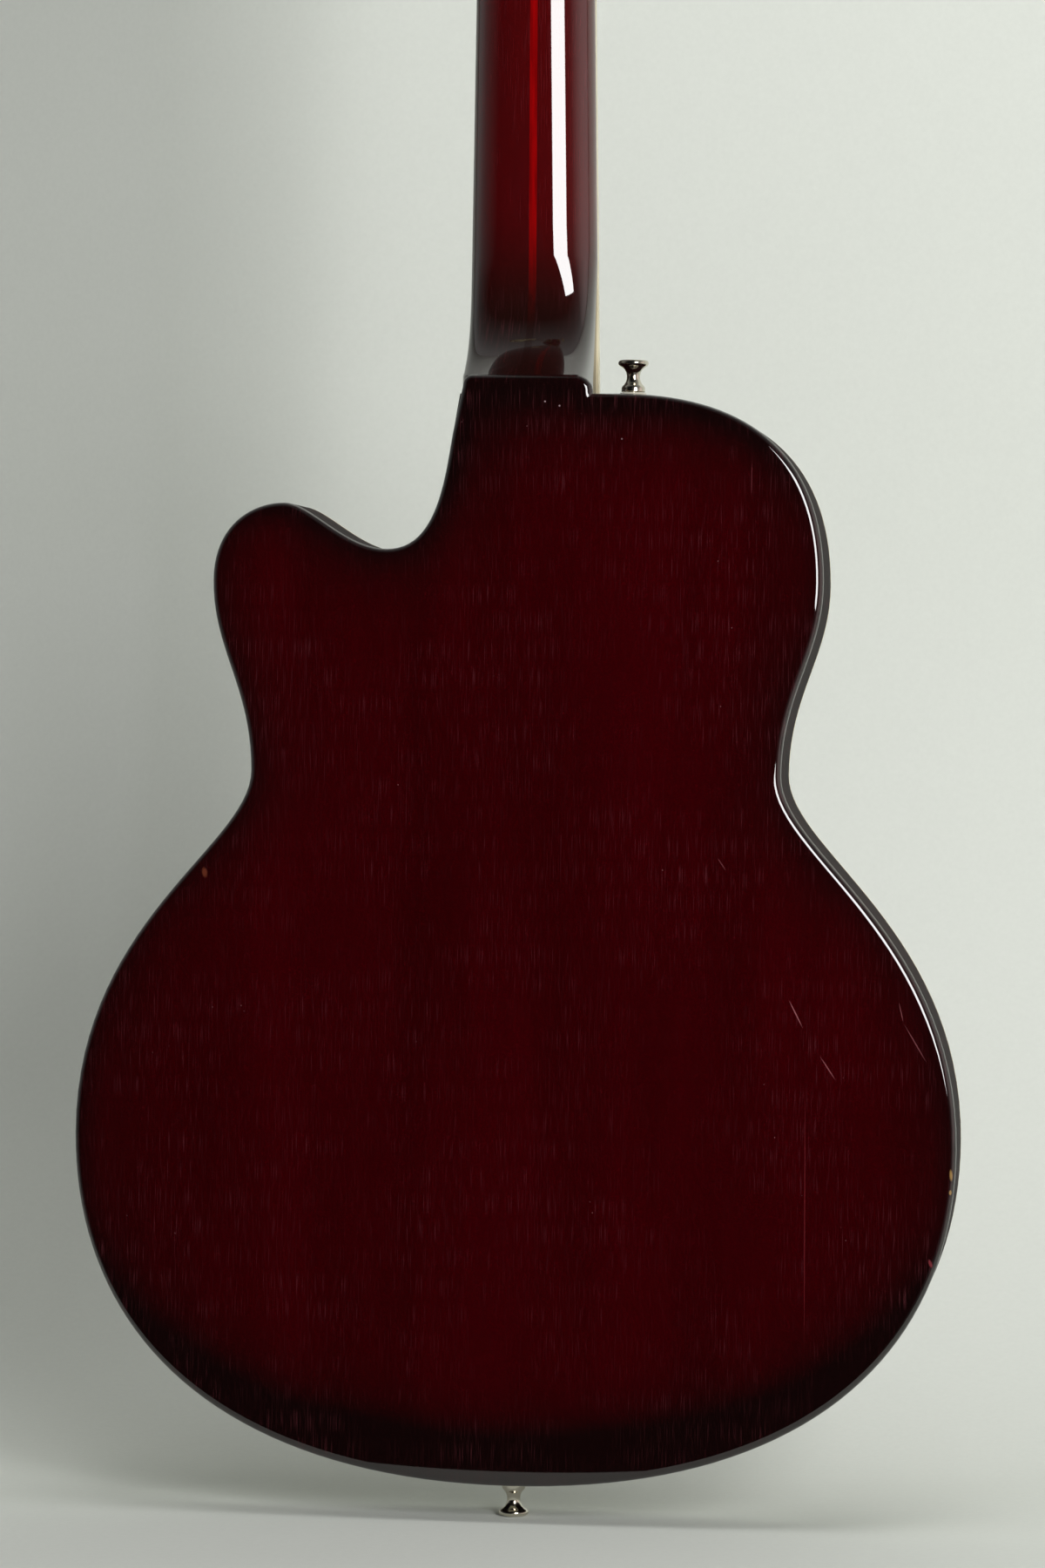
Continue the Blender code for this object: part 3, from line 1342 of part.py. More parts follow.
# Volume and tone controls: a knob on a shaft, in a pot under the top
for name, (x, z) in KNOB_PLACES.items():
    knob_back = frontmost(x, z, KNOB_RADIUS, KNOB_RADIUS) - GAP
    knob_front = knob_back - KNOB_HEIGHT
    pot_front = rearmost(x, z, POT_RADIUS, POT_RADIUS) + PLATE_THICKNESS + GAP
    turned(
        name + "_knob",
        [
            (KNOB_RADIUS - 2 * KNOB_TAPER, knob_front),
            (KNOB_RADIUS - KNOB_TAPER, knob_front + KNOB_TAPER),
            (KNOB_RADIUS, knob_back),
            (POT_SHAFT / 2, knob_back),
            (POT_SHAFT / 2, pot_front + POT_HEIGHT / 2),
        ],
        (x, 0, z),
        "Y",
        "black",
    )
    tube(
        name + "_pot",
        [
            (POT_BUSH / 2, knob_back + 2 * GAP),
            (POT_BUSH / 2, pot_front),
            (POT_RADIUS, pot_front),
            (POT_RADIUS, pot_front + POT_HEIGHT),
        ],
        POT_SHAFT / 2 + SHAFT_GAP,
        (x, 0, z),
        "Y",
        "steel",
    )

# Output jack in the cutaway side of the rim, at the body's widest point
jack_seat = WIDEST.x + GAP
tube(
    "output_jack",
    [
        (JACK_BARREL / 2, jack_seat - JACK_LENGTH),
        (JACK_BARREL / 2, jack_seat),
        (JACK_FLANGE / 2, jack_seat),
        (JACK_FLANGE / 2, jack_seat + JACK_FLANGE_THICKNESS),
    ],
    JACK_BORE / 2,
    (0, 0, WIDEST.y),
    "X",
    "nickel",
)
jack_reach = (WIDEST.x - JACK_LENGTH, WIDEST.x + JACK_LENGTH)
combine(rim, drill("jack_hole", JACK_BARREL / 2 + GAP, jack_reach, (0, 0, WIDEST.y), "X"))


# Strings, each one unbroken from its post to just past the string bar
def winding_points(index):
    """Turns round the tuner post, from the top of the winding down to where it leaves."""
    diameter = STRING_DIAMETERS[index]
    rows = len(TUNER_ROWS)
    side = -1 if index < rows else 1
    row = index if index < rows else 2 * rows - 1 - index
    post = Vector((side * TUNER_X, TUNER_ROWS[row]))
    toward = Vector((string_x(index, STRING_SPREAD_NUT), 0.0)) - post
    radius = POST_DIAMETER / 2 + STRING_GAP + diameter / 2
    tangent = math.acos(radius / toward.length)
    leave = math.atan2(toward.y, toward.x) - side * tangent
    step = (diameter + WINDING_GAP) / LOOP_POINT_COUNT
    low_level = -VENEER - WINDING_HEIGHT - diameter / 2
    points = []
    for k in range(WINDING_COUNT * LOOP_POINT_COUNT, -1, -1):
        angle = leave + side * 2 * math.pi * k / LOOP_POINT_COUNT
        x = post.x + radius * math.cos(angle)
        z = post.y + radius * math.sin(angle)
        points.append(HEAD_FRAME @ Vector((x, low_level - step * k, z)))
    return points


def straight(start, end):
    """Points along a straight stretch after its start, so that no facet is too thin."""
    return [start.lerp(end, (k + 1) / SPAN_COUNT) for k in range(SPAN_COUNT)]


for index, diameter in enumerate(STRING_DIAMETERS):
    winding = winding_points(index)
    nut_x = string_x(index, STRING_SPREAD_NUT)
    bridge_x = string_x(index, STRING_SPREAD_BRIDGE)
    over_nut = NECK_FRAME @ Vector((nut_x, -NUT_RISE, NUT_BACK))
    at_nut = NECK_FRAME @ Vector((nut_x, -NUT_RISE, NUT_ALONG))
    at_saddle = Vector((bridge_x, saddle_front - STRING_GAP - diameter / 2, BRIDGE_Z))
    string_bar_y = bar_front + STRING_BAR_SLOT - STRING_GAP - diameter / 2
    at_bar = Vector((bridge_x, string_bar_y, bar_z + STRING_BAR_HEIGHT / 2 + STRING_TAIL))
    past_bar = Vector((bridge_x, string_bar_y, bar_z - STRING_BAR_HEIGHT / 2 - STRING_TAIL))
    route = winding + straight(winding[-1], over_nut) + [at_nut]
    route += straight(at_nut, at_saddle) + [at_bar, past_bar]
    string_curve = bpy.data.curves.new(f"string_{len(STRING_DIAMETERS) - index}", "CURVE")
    string_curve.dimensions = "3D"
    string_curve.bevel_depth = diameter / 2
    string_curve.bevel_resolution = 1
    string_curve.use_fill_caps = True
    spline = string_curve.splines.new("POLY")
    spline.points.add(len(route) - 1)
    for target, point in zip(spline.points, route):
        target.co = (*point, 1.0)
    string = bpy.data.objects.new(string_curve.name, string_curve)
    show(string, "nickel" if index < WOUND_STRING_COUNT else "steel")
    least = min(
        (winding[a] - winding[b]).length - diameter
        for a in range(len(winding))
        for b in range(a + LOOP_POINT_COUNT // 2, len(winding))
    )
    print(f"{string.name}: least gap between its turns {least / MM:.2f} mm")
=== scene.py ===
import json
import math

import bmesh
import bpy
import numpy as np
from mathutils import Matrix, Vector

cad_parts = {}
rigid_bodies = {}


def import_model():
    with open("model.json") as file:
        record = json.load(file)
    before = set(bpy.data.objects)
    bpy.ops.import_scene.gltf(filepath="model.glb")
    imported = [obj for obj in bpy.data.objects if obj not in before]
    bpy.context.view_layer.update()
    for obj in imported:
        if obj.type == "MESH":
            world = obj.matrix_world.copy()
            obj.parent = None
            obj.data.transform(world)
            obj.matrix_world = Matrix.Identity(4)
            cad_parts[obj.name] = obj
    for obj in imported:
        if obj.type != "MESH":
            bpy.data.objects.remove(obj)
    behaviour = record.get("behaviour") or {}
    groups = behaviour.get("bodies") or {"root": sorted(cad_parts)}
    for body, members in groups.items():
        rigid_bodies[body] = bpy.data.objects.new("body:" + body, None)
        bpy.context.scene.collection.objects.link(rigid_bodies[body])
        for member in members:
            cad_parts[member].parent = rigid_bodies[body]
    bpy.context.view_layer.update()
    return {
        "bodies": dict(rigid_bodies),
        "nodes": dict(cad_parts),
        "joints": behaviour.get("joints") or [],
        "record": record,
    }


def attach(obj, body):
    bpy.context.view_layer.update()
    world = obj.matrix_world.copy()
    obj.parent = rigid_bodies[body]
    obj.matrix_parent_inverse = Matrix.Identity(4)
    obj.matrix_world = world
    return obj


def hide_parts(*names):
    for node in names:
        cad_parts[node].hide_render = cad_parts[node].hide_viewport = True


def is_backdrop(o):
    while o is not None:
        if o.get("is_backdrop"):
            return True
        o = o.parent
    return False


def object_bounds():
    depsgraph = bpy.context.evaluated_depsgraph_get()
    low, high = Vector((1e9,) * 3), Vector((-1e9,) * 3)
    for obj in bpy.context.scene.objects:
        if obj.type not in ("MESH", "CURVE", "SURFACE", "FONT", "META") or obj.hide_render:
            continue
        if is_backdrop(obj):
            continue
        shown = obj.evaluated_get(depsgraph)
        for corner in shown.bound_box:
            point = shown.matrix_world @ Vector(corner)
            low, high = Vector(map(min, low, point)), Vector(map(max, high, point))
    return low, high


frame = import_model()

nodes = frame["nodes"]
scene = bpy.context.scene
MM = 0.001


# Camera
# It looks at the guitar's back from 1.9 m away, almost level and a little from the bass
# side, with a long lens. The guitar stands upright on its end strap button.
CAMERA_PLACE = (-0.2606, 1.900, 0.3236)
CAMERA_YAW = 7.787
CAMERA_PITCH = 0.910
CAMERA_ROLL = 0.561
camera_data = bpy.data.cameras.new("camera")
camera_data.lens = 110.0
camera_data.sensor_width = 36.0
camera_data.clip_end = 50.0
camera = bpy.data.objects.new("camera", camera_data)
scene.collection.objects.link(camera)
yaw = math.radians(CAMERA_YAW)
pitch = math.radians(CAMERA_PITCH)
aim = Vector((math.sin(yaw) * math.cos(pitch), -math.cos(yaw) * math.cos(pitch), -math.sin(pitch)))
camera.matrix_world = (
    Matrix.Translation(CAMERA_PLACE)
    @ aim.to_track_quat("-Z", "Y").to_matrix().to_4x4()
    @ Matrix.Rotation(math.radians(CAMERA_ROLL), 4, "Z")
)
scene.camera = camera
scene.view_settings.view_transform = "Standard"


# Studio
# A sheet of pale paper hangs behind the guitar and runs forward under it. One tall soft
# box stands at the bass side, and the room on the camera's side is dark.
def linear(colour):
    """An sRGB hex colour as linear values."""
    channels = [int(colour[k : k + 2], 16) / 255 for k in (1, 3, 5)]
    return tuple(
        c / 12.92 if c <= 0.04045 else ((c + 0.055) / 1.055) ** 2.4 for c in channels
    ) + (1.0,)


def add_node(tree, kind, links=None, **settings):
    """A node with its settings, and its sockets set to a value or linked to another's output."""
    node = tree.nodes.new(kind)
    for key, value in settings.items():
        setattr(node, key, value)
    for socket, value in (links or {}).items():
        target = node.inputs[socket]
        if isinstance(value, bpy.types.NodeSocket):
            tree.links.new(value, target)
        else:
            target.default_value = value
    return node


def new_material(name, **sockets):
    """A material with one shader, whose sockets that are the same all over are set on it."""
    material = bpy.data.materials.new(name)
    material.use_nodes = True
    shader = material.node_tree.nodes["Principled BSDF"]
    for socket, value in sockets.items():
        shader.inputs[socket.replace("_", " ")].default_value = value
    return material, material.node_tree, shader


def add_piece(name, points, faces, material, smooth_angle=40.0, closed=True):
    """A mesh piece with its doubles merged and, where it is closed, its faces outwards."""
    mesh = bpy.data.meshes.new(name)
    mesh.from_pydata([tuple(p) for p in points], [], faces)
    shape = bmesh.new()
    shape.from_mesh(mesh)
    bmesh.ops.remove_doubles(shape, verts=shape.verts, dist=1e-6)
    if closed:
        bmesh.ops.recalc_face_normals(shape, faces=shape.faces)
    shape.to_mesh(mesh)
    shape.free()
    mesh.shade_smooth()
    mesh.set_sharp_from_angle(angle=math.radians(smooth_angle))
    mesh.materials.append(material)
    piece = bpy.data.objects.new(name, mesh)
    scene.collection.objects.link(piece)
    return piece


FLOOR_Z = -0.0004
PAPER_BEND_START = -0.10
PAPER_BEND = 0.42
PAPER_STEPS = 24
PAPER_FRONT = 0.13
PAPER_TURN_X = (0.16, 0.27)
PAPER_TURN = 20.0
paper_line = [(PAPER_FRONT, FLOOR_Z), (PAPER_BEND_START, FLOOR_Z)]
for k in range(1, PAPER_STEPS + 1):
    angle = math.radians(90 * k / PAPER_STEPS)
    paper_line.append((
        PAPER_BEND_START - PAPER_BEND * math.sin(angle),
        FLOOR_Z + PAPER_BEND * (1 - math.cos(angle)),
    ))
paper_line.append((PAPER_BEND_START - PAPER_BEND, 2.2))
# The hanging part turns away from the light beside the treble side, where it looks darker
columns = [-2.6] + [PAPER_TURN_X[0] + 0.02 * k for k in range(7)] + [2.6]
turned = [0.0, 0.0]
for before, after in zip(columns[1:], columns[2:]):
    share = min(((before + after) / 2 - PAPER_TURN_X[0]) / (PAPER_TURN_X[1] - PAPER_TURN_X[0]), 1.0)
    turned.append(turned[-1] + (after - before) * math.tan(math.radians(PAPER_TURN)) * share)
paper_points = [
    (x, y - back * min(max((z - FLOOR_Z) / PAPER_BEND, 0.0), 1.0), z)
    for y, z in paper_line
    for x, back in zip(columns, turned)
]
wide = len(columns)
paper_faces = [
    (row * wide + k, row * wide + k + wide, row * wide + k + wide + 1, row * wide + k + 1)
    for row in range(len(paper_line) - 1)
    for k in range(wide - 1)
]
# Backdrop paper, matt and pale grey-green; it shows from its front alone
paper, tree, shader = new_material("matt_backdrop_paper", Roughness=1.0, Specular_IOR_Level=0.0)
place = add_node(tree, "ShaderNodeTexCoord").outputs["Object"]
fibre = add_node(tree, "ShaderNodeTexNoise", {"Vector": place, "Scale": 420.0, "Detail": 3.0})
pulp = add_node(
    tree,
    "ShaderNodeMix",
    {"Factor": fibre.outputs["Fac"], "A": linear("#DEE1DA"), "B": linear("#E4E7E0")},
    data_type="RGBA",
)
tree.links.new(pulp.outputs[2], shader.inputs["Base Color"])
behind = add_node(tree, "ShaderNodeNewGeometry").outputs["Backfacing"]
clear = add_node(tree, "ShaderNodeBsdfTransparent")
sided = add_node(
    tree,
    "ShaderNodeMixShader",
    {"Fac": behind, 1: shader.outputs["BSDF"], 2: clear.outputs["BSDF"]},
)
tree.links.new(sided.outputs["Shader"], tree.nodes["Material Output"].inputs["Surface"])
backdrop = add_piece("backdrop", paper_points, paper_faces, paper, 180.0, closed=False)
backdrop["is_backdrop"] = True
# The floor goes on in front of the paper, where it is too far round to show in the lacquer
floor_points = [(x, y, FLOOR_Z) for y in (PAPER_FRONT, 3.0) for x in (-2.6, 2.6)]
floor = add_piece("front_floor", floor_points, [(0, 1, 3, 2)], paper, 180.0, closed=False)
floor.visible_glossy = False
floor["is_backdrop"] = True

# The room: pale to the camera, and to gloss dark in front of the back and grey at the sides
world = bpy.data.worlds.new("studio_room")
world.use_nodes = True
tree = world.node_tree
away = add_node(tree, "ShaderNodeTexCoord").outputs["Generated"]
front = add_node(
    tree, "ShaderNodeVectorMath", {0: away, 1: (0.15, 1.0, 0.25)}, operation="DOT_PRODUCT"
).outputs["Value"]
room = add_node(tree, "ShaderNodeValToRGB", {"Fac": front})
room.color_ramp.elements[0].position = 0.0
room.color_ramp.elements[0].color = (0.38, 0.39, 0.38, 1.0)
room.color_ramp.elements[1].position = 0.80
room.color_ramp.elements[1].color = (0.004, 0.004, 0.004, 1.0)
middle = room.color_ramp.elements.new(0.35)
middle.color = (0.18, 0.185, 0.18, 1.0)
path = add_node(tree, "ShaderNodeLightPath")
gloss_room = add_node(tree, "ShaderNodeBackground", {"Color": room.outputs["Color"], "Strength": 1.0})
soft_room = add_node(tree, "ShaderNodeBackground", {"Color": linear("#E4E6E2"), "Strength": 0.07})
seen_room = add_node(tree, "ShaderNodeBackground", {"Color": linear("#D3D7D0"), "Strength": 1.0})
# A pale pinkish wall, seen in gloss alone, stands far off on the bass side
side = add_node(
    tree, "ShaderNodeVectorMath", {0: away, 1: (-1.0, 0.0, 0.0)}, operation="DOT_PRODUCT"
).outputs["Value"]
wall_share = add_node(
    tree, "ShaderNodeMapRange", {"Value": side, "From Min": 0.78, "From Max": 0.96, "To Max": 0.6}
)
wall = add_node(
    tree, "ShaderNodeBackground", {"Color": linear("#F2D8D4"), "Strength": wall_share.outputs[0]}
)
gloss = add_node(tree, "ShaderNodeAddShader", {0: gloss_room.outputs[0], 1: wall.outputs[0]})
lit = add_node(
    tree,
    "ShaderNodeMixShader",
    {"Fac": path.outputs["Is Glossy Ray"], 1: soft_room.outputs[0], 2: gloss.outputs[0]},
)
shown = add_node(
    tree,
    "ShaderNodeMixShader",
    {"Fac": path.outputs["Is Camera Ray"], 1: lit.outputs[0], 2: seen_room.outputs[0]},
)
tree.links.new(shown.outputs[0], tree.nodes["World Output"].inputs["Surface"])
scene.world = world

# Soft boxes as (place, where it points, width, height, watts, roll, whether gloss shows it)
SOFT_BOXES = {
    "tall_soft_box": ((-1.10, 1.905, 0.905), (0.0, 0.0, 0.88), 0.82, 1.29, 46.5, -10.0, True),
    "overhead_soft_box": ((-0.30, 0.40, 2.10), (0.0, -0.1, 0.30), 1.20, 0.80, 11.5, 0.0, False),
    "front_soft_box": ((0.90, -2.40, 1.30), (0.0, 0.0, 0.40), 1.20, 1.60, 130.0, 0.0, True),
}
for name, (place, target, width, height, watts, roll, in_gloss) in SOFT_BOXES.items():
    lamp_data = bpy.data.lights.new(name, "AREA")
    lamp_data.shape = "RECTANGLE"
    lamp_data.size = width
    lamp_data.size_y = height
    lamp_data.energy = watts
    lamp = bpy.data.objects.new(name, lamp_data)
    scene.collection.objects.link(lamp)
    facing = (Vector(target) - Vector(place)).to_track_quat("-Z", "Y").to_matrix().to_4x4()
    rolled = Matrix.Rotation(math.radians(roll), 4, "Z")
    lamp.matrix_world = Matrix.Translation(place) @ facing @ rolled
    lamp.visible_camera = False
    lamp.visible_glossy = in_gloss


# Rim
# The guitar's sides: 3 mm laminated mahogany bent round the outline, dyed almost black
# cherry and lacquered with the back.
BODY_BOTTOM = 14.5 * MM
BODY_LENGTH = 433.5
BACK_Y = 22.25 * MM
FRONT_Y = -22.25 * MM
PLATE_THICKNESS = 3.4 * MM
RIM_WALL = 3.0 * MM
SHOULDER_Z = BODY_BOTTOM + BODY_LENGTH * MM
FLANK_X = 25.8
FLANK_HEIGHT = 418.0
FLANK_ANGLE = 99.7
# Stations as (x, height in mm, heading), and the reach of both handles between two of them
TAIL = (0.0, 0.0, 0.0)
LOWER_BOUT = (176.5, 137.5, 90.0)
WAIST = (106.0, 283.0, 90.0)
UPPER_BOUT = (122.0, 359.0, 90.0)
HORN = (93.4, 390.0, 180.0)
CUTAWAY = (51.8, 371.8, 180.0)
FLANK = (FLANK_X, FLANK_HEIGHT, FLANK_ANGLE)
SHOULDER = (40.0, BODY_LENGTH, 180.0)
BOUTS = [(TAIL, LOWER_BOUT, 0.5185, 0.3665, 40), (LOWER_BOUT, WAIST, 0.5257, 0.1855, 30)]
BOUTS.append((WAIST, UPPER_BOUT, 0.4249, 0.3605, 20))
TREBLE_SIDE = BOUTS + [
    (UPPER_BOUT, HORN, 0.5216, 0.3153, 20),
    (HORN, CUTAWAY, 0.2312, 0.3832, 20),
    (CUTAWAY, FLANK, 0.3811, 0.3396, 24),
]
BASS_SIDE = BOUTS + [(UPPER_BOUT, SHOULDER, 0.4874, 0.4332, 32)]


def bent_line(runs):
    """Points of a line bent through its stations, with the last station at its end."""
    points = []
    for low, high, out_share, in_share, steps in runs:
        start, end = np.array(low[:2]), np.array(high[:2])
        run = np.linalg.norm(end - start)
        out, into = math.radians(low[2]), math.radians(high[2])
        first = start + out_share * run * np.array([math.cos(out), math.sin(out)])
        last = end - in_share * run * np.array([math.cos(into), math.sin(into)])
        for k in range(steps):
            t = k / steps
            points.append(
                (1 - t) ** 3 * start + 3 * t * (1 - t) ** 2 * first
                + 3 * t * t * (1 - t) * last + t ** 3 * end
            )
    points.append(np.array(runs[-1][1][:2]))
    return points


def flank_x(height):
    return FLANK_X + (height - FLANK_HEIGHT) / math.tan(math.radians(FLANK_ANGLE))


def body_line(crest):
    """The outline in metres, up the treble side, over the crest and down the bass side."""
    bass = [np.array([-x, z]) for x, z in bent_line(BASS_SIDE)[1:]]
    line = np.array(bent_line(TREBLE_SIDE) + crest + bass[::-1]) * MM
    line[:, 1] += BODY_BOTTOM
    return line


def inset(line, distance):
    """Every point of a closed line moved inwards, square to the line."""
    before = line - np.roll(line, 1, axis=0)
    after = np.roll(line, -1, axis=0) - line
    before /= np.linalg.norm(before, axis=1)[:, None]
    after /= np.linalg.norm(after, axis=1)[:, None]
    inward = np.stack([-before[:, 1] - after[:, 1], before[:, 0] + after[:, 0]], axis=1)
    inward /= np.linalg.norm(inward, axis=1)[:, None]
    share = inward[:, 0] * -before[:, 1] + inward[:, 1] * before[:, 0]
    return line + inward * (distance / share)[:, None]


def at_depth(line, y):
    return np.stack([line[:, 0], np.full(len(line), y), line[:, 1]], axis=1)


def skin(loops, ring=False):
    """Faces over a row of loops with as many points each, closed at its ends or into a ring."""
    count = len(loops[0])
    points = np.concatenate([np.asarray(loop) for loop in loops])
    faces = []
    for level in range(len(loops) if ring else len(loops) - 1):
        low = level * count
        high = ((level + 1) % len(loops)) * count
        for k in range(count):
            after = (k + 1) % count
            faces.append((low + k, low + after, high + after, high + k))
    if not ring:
        faces.append(tuple(range(count)))
        faces.append(tuple(range((len(loops) - 1) * count, len(loops) * count)))
    return points, faces


def keep_edge_distance(piece, line):
    """Keeps each point's distance to an outline, for the dye that darkens towards the edge."""
    places = np.empty(len(piece.data.vertices) * 3)
    piece.data.vertices.foreach_get("co", places)
    flat = places.reshape(-1, 3)[:, [0, 2]]
    away = np.full(len(flat), 1.0)
    for start, end in zip(line, np.roll(line, -1, axis=0)):
        step = end - start
        t = np.clip((flat - start) @ step / (step @ step), 0, 1)
        away = np.minimum(away, np.linalg.norm(flat - start - t[:, None] * step, axis=1))
    piece.data.attributes.new("edge", "FLOAT", "POINT").data.foreach_set("value", away)


def spray_heel(tree, place, colour):
    """Darkens a colour down the heel, where the dark spray of the body runs out."""
    height = add_node(tree, "ShaderNodeSeparateXYZ", {"Vector": place}).outputs["Z"]
    dark = add_node(
        tree,
        "ShaderNodeMapRange",
        {"Value": height, "From Min": 0.535, "From Max": 0.470},
        interpolation_type="SMOOTHERSTEP",
    ).outputs["Result"]
    return add_node(
        tree, "ShaderNodeMix", {"Factor": dark, "A": colour, "B": linear("#1A0A08")},
        data_type="RGBA",
    ).outputs[2]


def cherry_lacquer(
    name, middle, streak, burst=None, reach=(3.0, 45.0), coat=1.0, heel=False, marks=(),
    pore_strength=0.30,
):
    """Mahogany dyed cherry under polished lacquer: fine vertical pores in the wood, with
    dusty lines over the longest of them, and a clear coat as smooth as glass."""
    material, tree, shader = new_material(
        name, Roughness=0.45, Specular_IOR_Level=0.0, Coat_Weight=coat, Coat_Roughness=0.03,
        Coat_IOR=1.7,
    )
    place = add_node(tree, "ShaderNodeTexCoord").outputs["Object"]
    figure_place = add_node(
        tree, "ShaderNodeMapping", {"Vector": place, "Scale": (1 / 0.028, 1 / 0.028, 1 / 0.26)}
    )
    figure = add_node(
        tree, "ShaderNodeTexNoise", {"Vector": figure_place.outputs[0], "Scale": 1.0, "Detail": 3.0}
    )
    wood = add_node(tree, "ShaderNodeValToRGB", {"Fac": figure.outputs["Fac"]})
    wood.color_ramp.elements[0].position = 0.32
    wood.color_ramp.elements[0].color = linear(streak)
    wood.color_ramp.elements[1].position = 0.62
    wood.color_ramp.elements[1].color = linear(middle)
    colour = wood.outputs["Color"]
    if burst:
        # The dark spray is thin along the sides and drifts further in at the tail and shoulder
        edge = add_node(tree, "ShaderNodeAttribute", attribute_name="edge").outputs["Fac"]
        height = add_node(tree, "ShaderNodeSeparateXYZ", {"Vector": place}).outputs["Z"]
        drift = add_node(tree, "ShaderNodeTexNoise", {"Vector": place, "Scale": 11.0, "Detail": 1.0})
        sprayed = add_node(
            tree, "ShaderNodeMath", {0: drift.outputs["Fac"], 1: 0.012, 2: edge},
            operation="MULTIPLY_ADD",
        ).outputs[0]
        for low, high, deep in ((0.135, 0.010, -0.024), (0.370, 0.440, -0.008)):
            extra = add_node(
                tree,
                "ShaderNodeMapRange",
                {"Value": height, "From Min": low, "From Max": high, "To Max": deep},
                interpolation_type="SMOOTHSTEP",
            )
            sprayed = add_node(
                tree, "ShaderNodeMath", {0: sprayed, 1: extra.outputs[0]}, operation="ADD"
            ).outputs[0]
        clear = add_node(
            tree,
            "ShaderNodeMapRange",
            {"Value": sprayed, "From Min": reach[0] * MM, "From Max": reach[1] * MM},
        )
        spray = add_node(tree, "ShaderNodeValToRGB", {"Fac": clear.outputs["Result"]})
        spray.color_ramp.interpolation = "B_SPLINE"
        spray.color_ramp.elements[0].color = (1.0, 1.0, 1.0, 1.0)
        spray.color_ramp.elements[1].color = (0.0, 0.0, 0.0, 1.0)
        for position, level in ((0.12, 0.75), (0.3, 0.36), (0.6, 0.12)):
            spray.color_ramp.elements.new(position).color = (level, level, level, 1.0)
        colour = add_node(
            tree,
            "ShaderNodeMix",
            {"Factor": spray.outputs["Color"], "A": colour, "B": linear(burst)},
            data_type="RGBA",
        ).outputs[2]
    if heel:
        colour = spray_heel(tree, place, colour)
    # Pores 0.35 mm wide and up to 15 mm long, in patches where dust has settled in them
    pore_place = add_node(
        tree, "ShaderNodeMapping", {"Vector": place, "Scale": (1 / 0.00030, 1 / 0.012, 1 / 0.011)}
    )
    pores = add_node(
        tree, "ShaderNodeTexNoise", {"Vector": pore_place.outputs[0], "Scale": 1.0, "Detail": 0.0}
    )
    open_pores = add_node(
        tree, "ShaderNodeMapRange",
        {"Value": pores.outputs["Fac"], "From Min": 0.60, "From Max": 0.80, "To Max": pore_strength},
    )
    patches = add_node(tree, "ShaderNodeTexNoise", {"Vector": place, "Scale": 26.0, "Detail": 3.0})
    patchy = add_node(
        tree, "ShaderNodeMapRange",
        {"Value": patches.outputs["Fac"], "From Min": 0.36, "From Max": 0.62, "To Min": 0.15},
    )
    worn = add_node(
        tree, "ShaderNodeMath", {0: open_pores.outputs["Result"], 1: patchy.outputs["Result"]},
        operation="MULTIPLY",
    ).outputs[0]
    # Dust specks about half a millimetre across, few and uneven
    cells = add_node(tree, "ShaderNodeTexVoronoi", {"Vector": place, "Scale": 1 / 0.007})
    speck = add_node(
        tree, "ShaderNodeMapRange",
        {"Value": cells.outputs["Distance"], "From Min": 0.035, "From Max": 0.02},
    )
    few = add_node(
        tree, "ShaderNodeMapRange",
        {"Value": patches.outputs["Fac"], "From Min": 0.56, "From Max": 0.60},
    )
    dust = add_node(
        tree, "ShaderNodeMath", {0: speck.outputs[0], 1: few.outputs[0]}, operation="MULTIPLY"
    ).outputs[0]
    for mark, shade in ((worn, "#5E2C32"), (dust, "#6E4A4C")):
        colour = add_node(
            tree, "ShaderNodeMix", {"Factor": mark, "A": colour, "B": linear(shade)},
            data_type="RGBA",
        ).outputs[2]
    # Scratches and chips, each a long thin mark: (x, z, turn, half length, half width, shade)
    for x, z, turn, long, wide, shade in marks:
        seen = add_node(
            tree, "ShaderNodeMapping",
            {
                "Vector": place, "Location": (x * MM, 0.0, z * MM),
                "Rotation": (0.0, math.radians(turn), 0.0), "Scale": (wide * MM, 1.0, long * MM),
            },
            vector_type="TEXTURE",
        )
        away = add_node(
            tree, "ShaderNodeVectorMath", {0: seen.outputs[0], 1: (1.0, 0.0, 1.0)}, operation="MULTIPLY"
        )
        near = add_node(tree, "ShaderNodeVectorMath", {0: away.outputs[0]}, operation="LENGTH")
        share = add_node(
            tree, "ShaderNodeMapRange",
            {"Value": near.outputs["Value"], "From Min": 1.0, "From Max": 0.5},
        )
        colour = add_node(
            tree, "ShaderNodeMix", {"Factor": share.outputs[0], "A": colour, "B": linear(shade)},
            data_type="RGBA",
        ).outputs[2]
    tree.links.new(colour, shader.inputs["Base Color"])
    return material, tree, shader


straight_crest = [np.array([flank_x(BODY_LENGTH), BODY_LENGTH])]
RIM_LINE = body_line(straight_crest)
INSIDE_LINE = inset(RIM_LINE, RIM_WALL)
side_lacquer, tree, shader = cherry_lacquer("dark_cherry_side_lacquer", "#1C0608", "#120406", coat=0.1)
rim_loops = [
    at_depth(line, y)
    for line, y in (
        (RIM_LINE, FRONT_Y + PLATE_THICKNESS),
        (RIM_LINE, BACK_Y - PLATE_THICKNESS),
        (INSIDE_LINE, BACK_Y - PLATE_THICKNESS),
        (INSIDE_LINE, FRONT_Y + PLATE_THICKNESS),
    )
]
rim = add_piece("bent_rim", *skin(rim_loops, ring=True), side_lacquer)
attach(rim, "root")
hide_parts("rim")


